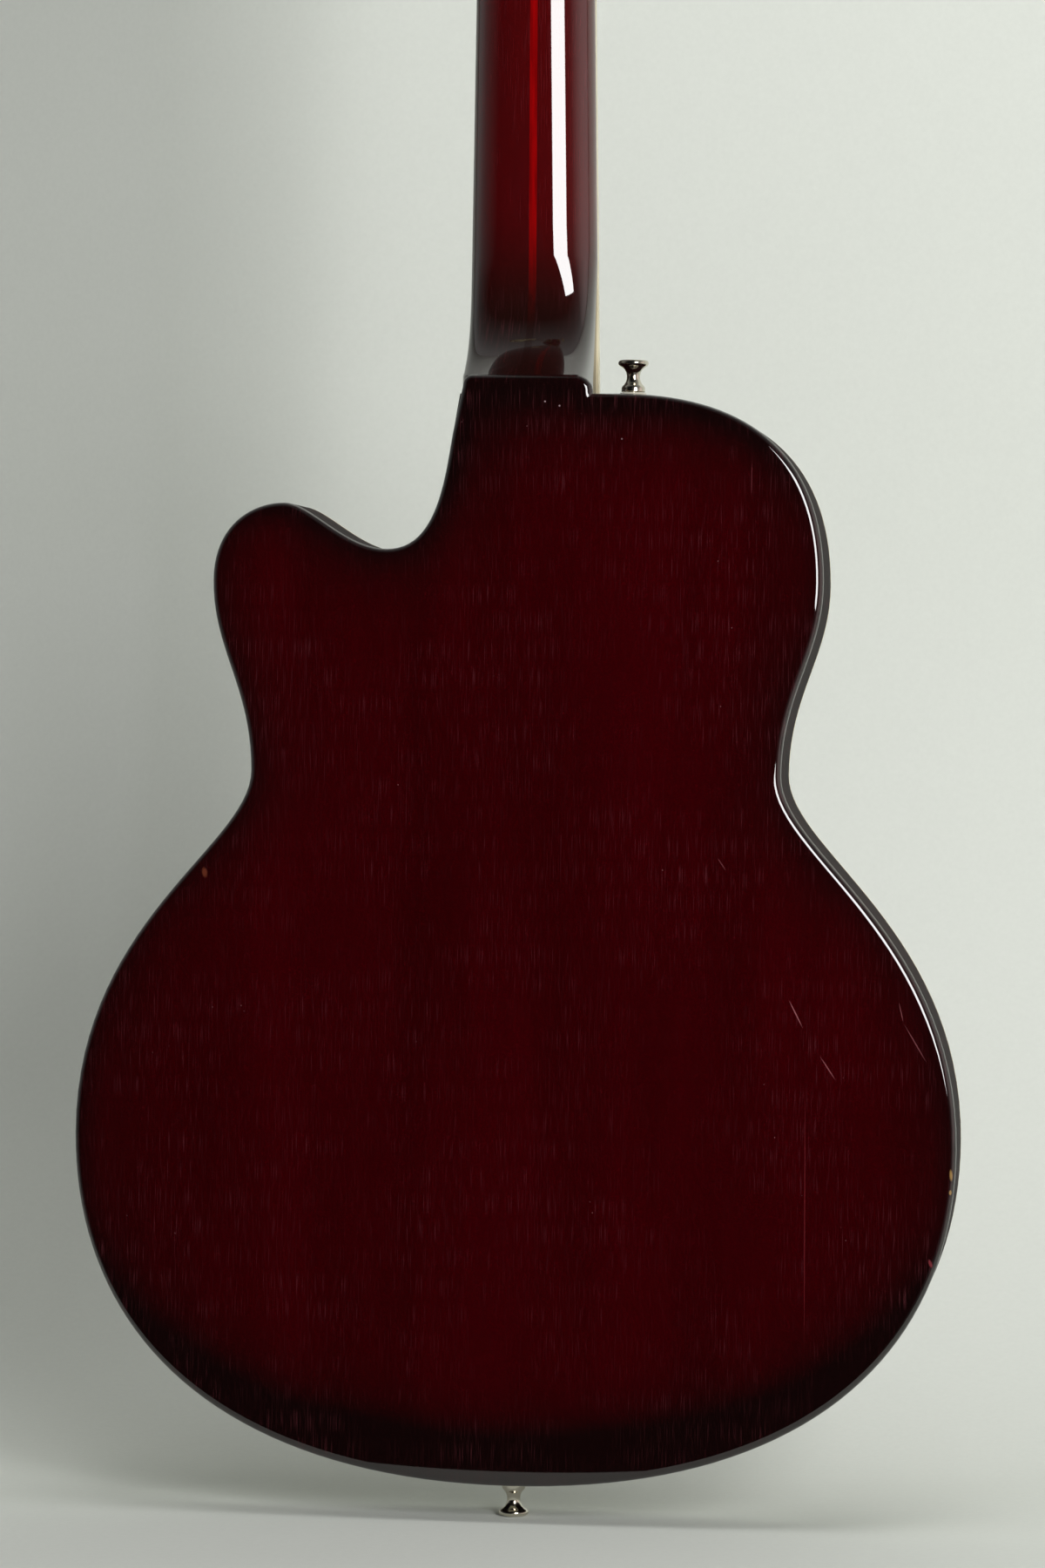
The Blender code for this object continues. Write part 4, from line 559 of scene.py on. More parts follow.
# Back plate
# One flat sheet of laminated mahogany glued over the rim, rounded off at its edge, with a
# tongue that covers the heel; dyed cherry, shaded nearly black to the edge, lacquered.
EDGE_WIDTH = 3.2 * MM
EDGE_DROP = 3.0 * MM
EDGE_STEPS = 14
FIELD_STEPS = 26
TONGUE_RISE = 7.5
TONGUE_BASS_X = 30.0
TONGUE_TREBLE_CORNER = 4.0
TONGUE_BASS_CORNER = 7.0
CORNER_STEPS = 10
CENTRE = np.array([0.0, BODY_BOTTOM + 200.0 * MM])
tongue_top = BODY_LENGTH + TONGUE_RISE
tongue_crest = []
for x, corner, start in (
    (flank_x(tongue_top) - TONGUE_TREBLE_CORNER, TONGUE_TREBLE_CORNER, 0),
    (TONGUE_BASS_CORNER - TONGUE_BASS_X, TONGUE_BASS_CORNER, 90),
):
    for k in range(CORNER_STEPS + 1):
        angle = math.radians(start + 90 * k / CORNER_STEPS)
        tongue_crest.append(np.array([
            x + corner * math.cos(angle), tongue_top - corner + corner * math.sin(angle)
        ]))
tongue_crest.append(np.array([-TONGUE_BASS_X, BODY_LENGTH]))
BACK_LINE = body_line(tongue_crest)
BACK_MARKS = (
    (-113.1, 204.4, 27.0, 6.4, 0.28, "#8A5458"),
    (-125.9, 183.3, 34.0, 6.0, 0.28, "#7A4448"),
    (-154.4, 205.8, 13.0, 4.2, 0.24, "#6A3C40"),
    (-160.0, 193.9, 31.0, 9.2, 0.24, "#6A3C40"),
    (-83.3, 262.8, 34.0, 3.2, 0.26, "#5E3034"),
    (-117.4, 125.3, 0.4, 56.0, 0.24, "#54181C"),
    (-93.5, 414.3, 0.0, 7.7, 0.24, "#4E2024"),
    (124.0, 256.7, 10.0, 2.4, 1.3, "#5A2A1C"),
    (-174.6, 142.3, 4.0, 2.6, 0.7, "#8A6A3C"),
    (-174.4, 135.5, 0.0, 1.2, 0.6, "#8A6A3C"),
    (-166.9, 107.5, 20.0, 2.0, 0.8, "#6A2A30"),
    (-11.3, 444.7, 0.0, 0.45, 0.45, "#8A7478"),
    (-17.1, 443.0, 0.0, 0.45, 0.45, "#8A7478"),
    (-42.0, 430.0, 0.0, 0.4, 0.4, "#7A6468"),
)
back_lacquer, tree, shader = cherry_lacquer(
    "cherry_burst_back_lacquer", "#320003", "#2A0002", burst="#0D0404", marks=BACK_MARKS
)
back_loops = [at_depth(BACK_LINE, BACK_Y - PLATE_THICKNESS)]
for k in range(EDGE_STEPS + 1):
    angle = math.radians(90 * k / EDGE_STEPS)
    level = BACK_Y - EDGE_DROP * (1 - math.sin(angle))
    back_loops.append(at_depth(inset(BACK_LINE, EDGE_WIDTH * (1 - math.cos(angle))), level))
field_line = inset(BACK_LINE, EDGE_WIDTH)
for k in range(1, FIELD_STEPS):
    back_loops.append(at_depth(CENTRE + (field_line - CENTRE) * (1 - k / FIELD_STEPS), BACK_Y))
back = add_piece("lacquered_back", *skin(back_loops), back_lacquer)
keep_edge_distance(back, BACK_LINE)
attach(back, "root")
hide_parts("back_plate")


# Arched top
# Laminated spruce pressed into a 9 mm arch and dyed like the back, with two sound holes.
BINDING_WIDTH = 1.6 * MM
ARCH_RISE = 9.0 * MM
ARCH_FLAT_SHARE = 0.25
TOP_STEPS = 30
NECK_ANGLE = math.radians(2.5)
NECK_RISE = 13.75 * MM
SCALE_LENGTH = 628.65 * MM
NUT_ALONG = SCALE_LENGTH * (1 - 2 ** (-14 / 12))
NECK_FRAME = Matrix.Translation((0, FRONT_Y - NECK_RISE, SHOULDER_Z)) @ Matrix.Rotation(
    -NECK_ANGLE, 4, "X"
)
BRIDGE_Z = (NECK_FRAME @ Vector((0, 0, NUT_ALONG - SCALE_LENGTH))).z
TOP_LINE = inset(RIM_LINE, BINDING_WIDTH)


def arch_rise(share):
    """Height of the arch over the edge, share being 1 at the edge and 0 at its centre."""
    t = min((1 - share) / (1 - ARCH_FLAT_SHARE), 1.0)
    return ARCH_RISE * t * t * (3 - 2 * t)


def arched(share, depth):
    return at_depth(CENTRE + (TOP_LINE - CENTRE) * share, FRONT_Y - arch_rise(share) + depth)


def cut(piece, name, points, faces, operation="DIFFERENCE"):
    """Cuts a form out of a piece, or keeps only what lies inside it, and leaves a plain mesh."""
    mesh = bpy.data.meshes.new(name)
    mesh.from_pydata([tuple(p) for p in points], [], faces)
    shape = bmesh.new()
    shape.from_mesh(mesh)
    bmesh.ops.recalc_face_normals(shape, faces=shape.faces)
    shape.to_mesh(mesh)
    shape.free()
    tool = bpy.data.objects.new(name, mesh)
    scene.collection.objects.link(tool)
    change = piece.modifiers.new(name, "BOOLEAN")
    change.operation = operation
    change.solver = "EXACT"
    change.object = tool
    evaluated = piece.evaluated_get(bpy.context.evaluated_depsgraph_get())
    result = bpy.data.meshes.new_from_object(evaluated)
    piece.modifiers.clear()
    piece.data = result
    bpy.data.objects.remove(tool)


top_lacquer, tree, shader = cherry_lacquer(
    "cherry_burst_top_lacquer", "#4A0508", "#3C0406", burst="#0C0406", reach=(5.0, 70.0)
)
shares = [1 - (1 - 0.06) * k / TOP_STEPS for k in range(TOP_STEPS + 1)]
top_loops = [arched(share, 0.0) for share in reversed(shares)]
top_loops += [arched(share, PLATE_THICKNESS) for share in shares]
top = add_piece("arched_top", *skin(top_loops), top_lacquer)
SOUND_HOLE_X = 88.0 * MM
SOUND_HOLE_LENGTH = 96.0 * MM
SOUND_HOLE_LEAN = 16.0 * MM
SOUND_HOLE_WIDTH = 8.0 * MM
SOUND_HOLE_TIP = 3.2 * MM
SOUND_HOLE_EYE = 13.0 * MM
SOUND_HOLE_EYE_SHIFT = 3.9 * MM
SLOT_STEPS = 40
EYE_STEPS = 32


def through(line):
    """A form as deep as the body that cuts a line's shape out of the top."""
    return skin([at_depth(np.array(line), FRONT_Y - 2 * ARCH_RISE), at_depth(np.array(line), 0.0)])


def round_line(x, z, radius, steps):
    angles = [2 * math.pi * k / steps for k in range(steps)]
    return [(x + radius * math.cos(a), z + radius * math.sin(a)) for a in angles]


for side_name, side in (("bass", -1), ("treble", 1)):
    edges = {-1: [], 1: []}
    for k in range(SLOT_STEPS + 1):
        t = k / SLOT_STEPS
        width = SOUND_HOLE_TIP + (SOUND_HOLE_WIDTH - SOUND_HOLE_TIP) * math.sin(math.pi * t)
        x = SOUND_HOLE_X - (t - 0.5) * SOUND_HOLE_LEAN
        z = BRIDGE_Z + (t - 0.5) * SOUND_HOLE_LENGTH
        for edge, line in edges.items():
            line.append((side * (x + edge * width / 2), z))
    cut(top, "slot_" + side_name, *through(edges[1] + edges[-1][::-1]))
    for t in (0, 1):
        x = SOUND_HOLE_X - (t - 0.5) * (SOUND_HOLE_LEAN + 2 * SOUND_HOLE_EYE_SHIFT)
        z = BRIDGE_Z + (t - 0.5) * SOUND_HOLE_LENGTH
        eye = round_line(side * x, z, SOUND_HOLE_EYE / 2, EYE_STEPS)
        cut(top, f"eye_{side_name}_{t}", *through(eye))
keep_edge_distance(top, RIM_LINE)
top.data.shade_smooth()
top.data.set_sharp_from_angle(angle=math.radians(40))
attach(top, "root")
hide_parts("top_plate")


# Top binding
# A strip of aged cream plastic glued into the corner between the top and the rim, and
# scraped flush with both.
binding_plastic, tree, shader = new_material("aged_cream_binding", Roughness=0.25)
place = add_node(tree, "ShaderNodeTexCoord").outputs["Object"]
ageing = add_node(tree, "ShaderNodeTexNoise", {"Vector": place, "Scale": 55.0, "Detail": 3.0})
tone = add_node(tree, "ShaderNodeValToRGB", {"Fac": ageing.outputs["Fac"]})
tone.color_ramp.elements[0].position = 0.3
tone.color_ramp.elements[0].color = linear("#CFC19C")
tone.color_ramp.elements[1].position = 0.7
tone.color_ramp.elements[1].color = linear("#E3D8B8")
tree.links.new(tone.outputs["Color"], shader.inputs["Base Color"])
binding_loops = [
    at_depth(line, y)
    for line, y in (
        (RIM_LINE, FRONT_Y + 0.6 * MM),
        (RIM_LINE, FRONT_Y + PLATE_THICKNESS),
        (TOP_LINE, FRONT_Y + PLATE_THICKNESS),
        (TOP_LINE, FRONT_Y),
        (inset(RIM_LINE, 0.6 * MM), FRONT_Y),
        (inset(RIM_LINE, 0.18 * MM), FRONT_Y + 0.18 * MM),
    )
]
binding = add_piece("top_edge_binding", *skin(binding_loops, ring=True), binding_plastic)
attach(binding, "root")
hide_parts("top_binding")


# Linings
# Spruce strips glued inside both edges of the rim to hold the plates, in two halves. They
# are sawn almost through every few millimetres, so that they bend round the outline.
LINING_WIDTH = 5.0 * MM
LINING_MIDDLE = 17.0 * MM
KERF = 1.1 * MM
KERF_PITCH = 7.5 * MM
KERF_FLOOR = 1.3 * MM


def pieces_at(name, piece_points, piece_faces, places, material, uneven=0.0):
    """Repeats one small piece at (place, turn, size) triples, as one plain mesh."""
    single = add_piece(name + "_single", piece_points, piece_faces, material, 30.0)
    mesh = bpy.data.meshes.new(name)
    mesh.from_pydata([tuple(place) for place, turn, size in places], [], [])
    for key, values in (("turn", [p[1] for p in places]), ("size", [p[2] for p in places])):
        layer = mesh.attributes.new(key, "FLOAT_VECTOR", "POINT")
        layer.data.foreach_set("vector", np.array(values, dtype=float).ravel())
    host = bpy.data.objects.new(name, mesh)
    scene.collection.objects.link(host)
    tree = bpy.data.node_groups.new(name, "GeometryNodeTree")
    sockets = {}
    for label, kind in (
        ("Points", "Geometry"), ("Piece", "Object"), ("Uneven turn", "Float"), ("Finish", "Material")
    ):
        socket = tree.interface.new_socket(label, in_out="INPUT", socket_type="NodeSocket" + kind)
        sockets[label] = socket.identifier
    tree.interface.new_socket("Pieces", in_out="OUTPUT", socket_type="NodeSocketGeometry")
    given = add_node(tree, "NodeGroupInput").outputs
    turn = add_node(tree, "GeometryNodeInputNamedAttribute", {"Name": "turn"}, data_type="FLOAT_VECTOR")
    size = add_node(tree, "GeometryNodeInputNamedAttribute", {"Name": "size"}, data_type="FLOAT_VECTOR")
    piece = add_node(tree, "GeometryNodeObjectInfo", {"Object": given["Piece"]})
    placed = add_node(
        tree,
        "GeometryNodeInstanceOnPoints",
        {
            "Points": given["Points"], "Instance": piece.outputs["Geometry"],
            "Rotation": turn.outputs["Attribute"], "Scale": size.outputs["Attribute"],
        },
    )
    spin = add_node(tree, "FunctionNodeRandomValue", {"Min": -1.0, "Max": 1.0, "Seed": 7})
    spun = add_node(tree, "ShaderNodeMath", {0: spin.outputs[1], 1: given["Uneven turn"]}, operation="MULTIPLY")
    turned_by = add_node(tree, "ShaderNodeCombineXYZ", {"Z": spun.outputs[0]})
    turned = add_node(
        tree,
        "GeometryNodeRotateInstances",
        {"Instances": placed.outputs["Instances"], "Rotation": turned_by.outputs["Vector"]},
    )
    real = add_node(tree, "GeometryNodeRealizeInstances", {"Geometry": turned.outputs["Instances"]})
    coated = add_node(
        tree, "GeometryNodeSetMaterial",
        {"Geometry": real.outputs["Geometry"], "Material": given["Finish"]},
    )
    add_node(tree, "NodeGroupOutput", {"Pieces": coated.outputs["Geometry"]})
    change = host.modifiers.new("pieces", "NODES")
    change.node_group = tree
    change[sockets["Piece"]] = single
    change[sockets["Uneven turn"]] = uneven
    change[sockets["Finish"]] = material
    evaluated = host.evaluated_get(bpy.context.evaluated_depsgraph_get())
    result = bpy.data.meshes.new_from_object(evaluated)
    host.modifiers.clear()
    host.data = result
    bpy.data.objects.remove(single)
    return host


def node_copy(name, material, ease=0.0, steps=2, smooth_angle=32.0):
    """A node's mesh with its doubles merged, its flat facets joined and its edges eased."""
    shape = bmesh.new()
    shape.from_mesh(nodes[name].data)
    shape.transform(nodes[name].matrix_world)
    bmesh.ops.remove_doubles(shape, verts=shape.verts, dist=1e-5)
    flat = math.radians(1.0)
    bmesh.ops.dissolve_limit(shape, angle_limit=flat, verts=shape.verts, edges=shape.edges)
    bmesh.ops.recalc_face_normals(shape, faces=shape.faces)
    if ease:
        edges = [e for e in shape.edges if len(e.link_faces) == 2 and e.calc_face_angle() > 0.6]
        bmesh.ops.bevel(
            shape, geom=edges, offset=ease, segments=steps, profile=0.5, affect="EDGES",
            clamp_overlap=True,
        )
    mesh = bpy.data.meshes.new(name + "_eased")
    shape.to_mesh(mesh)
    shape.free()
    mesh.shade_smooth()
    mesh.set_sharp_from_angle(angle=math.radians(smooth_angle))
    mesh.materials.clear()
    mesh.materials.append(material)
    piece = bpy.data.objects.new(name + "_eased", mesh)
    scene.collection.objects.link(piece)
    return piece


def fit(piece, name, body="root"):
    """Mounts a finished piece on a body, in place of a node."""
    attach(piece, body)
    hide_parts(name)
    return piece


# Unfinished spruce: pale wood with close brown year rings along it
raw_spruce, tree, shader = new_material("raw_planed_spruce", Roughness=0.75)
place = add_node(tree, "ShaderNodeTexCoord").outputs["Object"]
drift = add_node(tree, "ShaderNodeTexNoise", {"Vector": place, "Scale": 30.0, "Detail": 2.0})
rings = add_node(
    tree, "ShaderNodeTexWave",
    {"Vector": place, "Scale": 1 / 0.0072, "Distortion": 2.5, "Detail": 2.0, "Detail Scale": 0.5},
    wave_profile="SAW",
)
year = add_node(tree, "ShaderNodeValToRGB", {"Fac": rings.outputs["Fac"]})
year.color_ramp.elements[0].position = 0.2
year.color_ramp.elements[0].color = linear("#DCC296")
year.color_ramp.elements[1].position = 0.95
year.color_ramp.elements[1].color = linear("#B98F5B")
aged = add_node(
    tree, "ShaderNodeMix", {"Factor": drift.outputs["Fac"], "A": year.outputs["Color"], "B": linear("#CFAE7C")},
    data_type="RGBA",
)
tree.links.new(aged.outputs[2], shader.inputs["Base Color"])
planed = add_node(tree, "ShaderNodeBump", {"Strength": 0.25, "Distance": 0.0002, "Height": rings.outputs["Fac"]})
tree.links.new(planed.outputs["Normal"], shader.inputs["Normal"])
raw_mahogany, tree, shader = new_material("raw_mahogany_inside", Roughness=0.8)
place = add_node(tree, "ShaderNodeTexCoord").outputs["Object"]
long_place = add_node(
    tree, "ShaderNodeMapping", {"Vector": place, "Scale": (1 / 0.0012, 1 / 0.0012, 1 / 0.03)}
).outputs[0]
grain = add_node(tree, "ShaderNodeTexNoise", {"Vector": long_place, "Scale": 1.0, "Detail": 3.0})
tone = add_node(
    tree, "ShaderNodeMix", {"Factor": grain.outputs["Fac"], "A": linear("#7A4C30"), "B": linear("#A87A52")},
    data_type="RGBA",
)
tree.links.new(tone.outputs[2], shader.inputs["Base Color"])


def leave_raw(piece, wood, is_inside):
    """Gives the faces inside the body bare wood, which no dye or lacquer reaches."""
    piece.data.materials.append(wood)
    for face in piece.data.polygons:
        if is_inside(face.center, face.normal):
            face.material_index = 1


leave_raw(rim, raw_mahogany, lambda c, n: n.x * c.x + n.z * (c.z - CENTRE[1]) < 0 and abs(n.y) < 0.5)
leave_raw(back, raw_mahogany, lambda c, n: n.y < -0.9)
leave_raw(top, raw_spruce, lambda c, n: n.y > 0.7)
kerf_line = inset(RIM_LINE, RIM_WALL + 0.3 * MM + LINING_WIDTH)
steps_along = np.linalg.norm(np.roll(kerf_line, -1, axis=0) - kerf_line, axis=1)
run = np.concatenate([[0.0], np.cumsum(steps_along)])
closed = np.vstack([kerf_line, kerf_line[:1]])
kerf_block, kerf_faces = skin([
    [(x, y, z) for x in (-KERF / 2, KERF / 2)] + [(x, -y, z) for x in (KERF / 2, -KERF / 2)]
    for y, z in ((-6.0 * MM, KERF_FLOOR - LINING_WIDTH), (-6.0 * MM, 4.0 * MM))
])
for depth_name, middle in (("front", -LINING_MIDDLE + 0.1 * MM), ("back", LINING_MIDDLE - 0.1 * MM)):
    for side_name, side in (("bass", -1), ("treble", 1)):
        places = []
        for k in range(int(run[-1] / KERF_PITCH)):
            along = k * KERF_PITCH
            x, z = (np.interp(along, run, closed[:, axis]) for axis in (0, 1))
            ahead = [np.interp(along + 1 * MM, run, closed[:, axis]) for axis in (0, 1)]
            if side * x > 3 * MM:
                angle = math.atan2(ahead[1] - z, ahead[0] - x)
                places.append(((x, middle, z), (0.0, -angle, 0.0), (1.0, 1.0, 1.0)))
        name = f"lining_{depth_name}_{side_name}"
        lining = node_copy(name, raw_spruce)
        kerfs = pieces_at(name + "_kerfs", kerf_block, kerf_faces, places, raw_spruce)
        corners = [tuple(v.co) for v in kerfs.data.vertices]
        cut(lining, name + "_cut", corners, [tuple(p.vertices) for p in kerfs.data.polygons])
        bpy.data.objects.remove(kerfs)
        fit(lining, name)


# Blocks and tone bars
# Spruce blocks inside the tail and the shoulder take the end screws and the neck's tenon.
# Two spruce bars stiffen the top; their lower edges are rounded by hand.
for name, ease in (
    ("tail_block", 0.8), ("neck_block", 0.8), ("tone_bar_bass", 1.6), ("tone_bar_treble", 1.6)
):
    fit(node_copy(name, raw_spruce, ease * MM, 3), name)


# Neck
# Two mahogany wings glued to a thin centre strip of maple, carved as one: a squared heel
# under the back's tongue, a round back and a tilted headstock; dyed and lacquered red.
NUT_WIDTH = 43.0 * MM
JOINT_WIDTH = 52.8 * MM
NECK_DEPTH_NUT = 15.5 * MM
NECK_DEPTH_JOINT = 17.5 * MM
NECK_POWER = 2.0
HEEL_POWER = 5.2
HEEL_END_POWER = 2.2
HEEL_CURVE = 50.0 * MM
HEEL_HOLLOW = 3.0
HEEL_NARROWING = 2.4 * MM
STRIP_WIDTH = 3.0 * MM
STRIP_X = -1.4 * MM
FINGERBOARD = 6.0 * MM
NUT_THICKNESS = 5.0 * MM
HEAD_ANGLE = 14.0
HEAD_LENGTH = 166.0 * MM
HEAD_DEPTH = 14.0 * MM
HEAD_WIDTH_LOW = 66.0 * MM
HEAD_WIDTH_TOP = 75.0 * MM
HEAD_FLARE = 36.0 * MM
HEAD_CROWN = 18.0 * MM
HEAD_TIP_WIDTH = 28.0 * MM
HEAD_START = 2.0 * MM
HEAD_POWER = 11.4
POST_HOLE = 6.8 * MM
TUNER_X = 21.0 * MM
TUNER_ROWS = [HEAD_LENGTH * share for share in (0.253, 0.482, 0.711)]
HEAD_FRAME = (
    NECK_FRAME
    @ Matrix.Translation((0, FINGERBOARD, NUT_ALONG + NUT_THICKNESS))
    @ Matrix.Rotation(math.radians(-HEAD_ANGLE), 4, "X")
)
HEEL_TOP = SHOULDER_Z + TONGUE_RISE * MM
NECK_LOW = HEEL_TOP + HEEL_CURVE
NUT_Z = (NECK_FRAME @ Vector((0, FINGERBOARD, NUT_ALONG))).z
HEEL_BACK = BACK_Y - PLATE_THICKNESS
SECTION_STEPS = 64
HEEL_STEPS = 30
NECK_STEPS = 24
HEAD_STEPS = 30


def neck_front(z):
    low = NECK_FRAME @ Vector((0, FINGERBOARD, 0))
    return low.y + (z - low.z) * math.tan(NECK_ANGLE)


def tapered(joint_size, nut_size, along):
    return joint_size + (nut_size - joint_size) * along / NUT_ALONG


def section(width, depth, power):
    """A D-shape as (across, back) pairs: flat in front, round or squared at its back."""
    loop = []
    for k in range(SECTION_STEPS + 1):
        angle = math.pi * k / SECTION_STEPS
        across = math.copysign(abs(math.cos(angle)) ** (2 / power), math.cos(angle))
        loop.append((width / 2 * across, depth * max(math.sin(angle), 0) ** (2 / power)))
    return loop


def neck_section(z, depth, power, narrower=0.0):
    width = tapered(JOINT_WIDTH, NUT_WIDTH, z - SHOULDER_Z) - narrower
    return [(x, neck_front(z) + y, z) for x, y in section(width, depth, power)]


def head_width(along):
    flare = min(along / HEAD_FLARE, 1.0)
    width = NUT_WIDTH + (HEAD_WIDTH_LOW - NUT_WIDTH) * flare * flare * (3 - 2 * flare)
    width += (HEAD_WIDTH_TOP - HEAD_WIDTH_LOW) * along / HEAD_LENGTH
    crown = max(along - (HEAD_LENGTH - HEAD_CROWN), 0.0) / HEAD_CROWN
    return width * math.sqrt(1 - (1 - (HEAD_TIP_WIDTH / HEAD_WIDTH_TOP) ** 2) * crown * crown)


sections = []
heel_heights = [HEEL_TOP + HEEL_CURVE * k / HEEL_STEPS for k in range(HEEL_STEPS + 1)]
for z in [SHOULDER_Z] + heel_heights:
    left = min((NECK_LOW - z) / HEEL_CURVE, 1.0)
    depth = tapered(NECK_DEPTH_JOINT, NECK_DEPTH_NUT, z - SHOULDER_Z)
    depth += (HEEL_BACK - neck_front(z) - depth) * left ** HEEL_HOLLOW
    power = HEEL_END_POWER + (HEEL_POWER - HEEL_END_POWER) * left
    sections.append(neck_section(z, depth, power, HEEL_NARROWING * left))
for k in range(1, NECK_STEPS + 1):
    z = NECK_LOW + (NUT_Z - NECK_LOW) * k / NECK_STEPS
    power = HEEL_END_POWER + (NECK_POWER - HEEL_END_POWER) * min(2 * k / NECK_STEPS, 1)
    depth = tapered(NECK_DEPTH_JOINT, NECK_DEPTH_NUT, z - SHOULDER_Z)
    sections.append(neck_section(z, depth, power))
stations = [HEAD_START + (HEAD_FLARE - HEAD_START) * k / HEAD_STEPS for k in range(HEAD_STEPS + 1)]
stations += [HEAD_FLARE + (HEAD_LENGTH - HEAD_CROWN - HEAD_FLARE) * k / 8 for k in range(1, 8)]
stations += [
    HEAD_LENGTH - HEAD_CROWN + HEAD_CROWN * math.sin(math.pi / 2 * k / 16) for k in range(17)
]
for along in stations:
    square = min(along / HEAD_FLARE, 1.0)
    depth = NECK_DEPTH_NUT + (HEAD_DEPTH - NECK_DEPTH_NUT) * square
    shape = section(head_width(along), depth, NECK_POWER + (HEAD_POWER - NECK_POWER) * square)
    sections.append([tuple(HEAD_FRAME @ Vector((x, y, along))) for x, y in shape])
neck_points, neck_faces = skin(sections)


def box_form(low, high, frame=Matrix.Identity(4)):
    """A plain box as points and faces, for cutting alone."""
    corners = [(low[0], low[1]), (high[0], low[1]), (high[0], high[1]), (low[0], high[1])]
    loops = [[tuple(frame @ Vector((x, y, z))) for x, y in corners] for z in (low[2], high[2])]
    return skin(loops)


EXTENSION = ((-24.3, 6.0, -78.0), (24.3, 10.5, 6.1))
TENON = ((-10.0, -13.0, -30.0), (10.0, 13.0, 3.75))
TRUSS_CHANNEL = ((-3.2, 5.0, 9.0), (3.2, 13.6, 290.0))
NUT_POCKET = ((-3.8, 0.0, 285.0), (3.8, 14.5, 301.5))
neck_lacquer, tree, shader = cherry_lacquer("cherry_neck_lacquer", "#480608", "#3A0508", heel=True)
# Maple takes the dye brighter than mahogany and has no open pores
maple_lacquer, tree, shader = new_material(
    "cherry_maple_lacquer", Roughness=0.4, Specular_IOR_Level=0.0, Coat_Weight=1.0,
    Coat_Roughness=0.035,
)
place = add_node(tree, "ShaderNodeTexCoord").outputs["Object"]
long_place = add_node(
    tree, "ShaderNodeMapping", {"Vector": place, "Scale": (1 / 0.0012, 1 / 0.0012, 1 / 0.05)}
)
flecks = add_node(tree, "ShaderNodeTexNoise", {"Vector": long_place.outputs[0], "Scale": 1.0})
tone = add_node(tree, "ShaderNodeValToRGB", {"Fac": flecks.outputs["Fac"]})
tone.color_ramp.elements[0].position = 0.35
tone.color_ramp.elements[0].color = linear("#6A0204")
tone.color_ramp.elements[1].position = 0.65
tone.color_ramp.elements[1].color = linear("#8C0406")
maple_colour = spray_heel(tree, place, tone.outputs["Color"])
tree.links.new(maple_colour, shader.inputs["Base Color"])
NECK_PIECES = {
    "neck_wing_bass": (-1.0, STRIP_X - STRIP_WIDTH / 2, neck_lacquer, "cherry_lacquer"),
    "neck_centre_strip": (
        STRIP_X - STRIP_WIDTH / 2, STRIP_X + STRIP_WIDTH / 2, maple_lacquer, "maple_strip"
    ),
    "neck_wing_treble": (STRIP_X + STRIP_WIDTH / 2, 1.0, neck_lacquer, "cherry_lacquer"),
}
for name, (low_x, high_x, material, slot) in NECK_PIECES.items():
    piece = add_piece(name + "_carved", neck_points, neck_faces, material)
    extension = box_form(*(np.array(corner) * MM for corner in EXTENSION), NECK_FRAME)
    cut(piece, "extension", *extension, operation="UNION")
    tenon = box_form(*(np.array(corner) * MM + (0, 0, SHOULDER_Z) for corner in TENON))
    cut(piece, "tenon", *tenon, operation="UNION")
    cut(piece, "channel", *box_form(*(np.array(c) * MM for c in TRUSS_CHANNEL), NECK_FRAME))
    cut(piece, "pocket", *box_form(*(np.array(c) * MM for c in NUT_POCKET), NECK_FRAME))
    for side in (-1, 1):
        for row, along in enumerate(TUNER_ROWS):
            hole = [
                [
                    tuple(HEAD_FRAME @ Vector((x, y, z)))
                    for x, z in round_line(side * TUNER_X, along, POST_HOLE / 2, 24)
                ]
                for y in (-0.02, 0.03)
            ]
            cut(piece, f"post_hole_{side}_{row}", *skin(hole))
    slab = box_form((low_x, -1.0, 0.0), (high_x, 1.0, 2.0))
    cut(piece, "slab", *slab, operation="INTERSECT")
    piece.data.shade_smooth()
    piece.data.set_sharp_from_angle(angle=math.radians(30))
    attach(piece, "root")
    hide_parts(name)


# Fingerboard
# A rosewood board, crowned across, glued to the neck and bound in cream along its edges,
# with twenty nickel-silver frets hammered into it and bevelled at their ends.
FRET_COUNT = 20
BOARD_CROWN = 0.9 * MM
BOUND_WIDTH = 1.6 * MM
FRET_HALF = 1.15 * MM
FRET_RISE = 1.0 * MM
BOARD_LOW = NUT_ALONG - SCALE_LENGTH * (1 - 2 ** (-FRET_COUNT / 12)) - 6.0 * MM
BOARD_HIGH = NUT_ALONG - 0.3 * MM
rosewood, tree, shader = new_material("oiled_rosewood", Roughness=0.42)
place = add_node(tree, "ShaderNodeTexCoord").outputs["Object"]
long_place = add_node(
    tree, "ShaderNodeMapping", {"Vector": place, "Scale": (1 / 0.0022, 1 / 0.0022, 1 / 0.07)}
).outputs[0]
streaks = add_node(tree, "ShaderNodeTexNoise", {"Vector": long_place, "Scale": 1.0, "Detail": 4.0})
tone = add_node(tree, "ShaderNodeValToRGB", {"Fac": streaks.outputs["Fac"]})
tone.color_ramp.elements[0].position = 0.35
tone.color_ramp.elements[0].color = linear("#2A150E")
tone.color_ramp.elements[1].position = 0.66
tone.color_ramp.elements[1].color = linear("#5A3324")
fine_place = add_node(
    tree, "ShaderNodeMapping", {"Vector": place, "Scale": (1 / 0.0003, 1 / 0.0003, 1 / 0.006)}
).outputs[0]
pores = add_node(tree, "ShaderNodeTexNoise", {"Vector": fine_place, "Scale": 1.0, "Detail": 1.0})
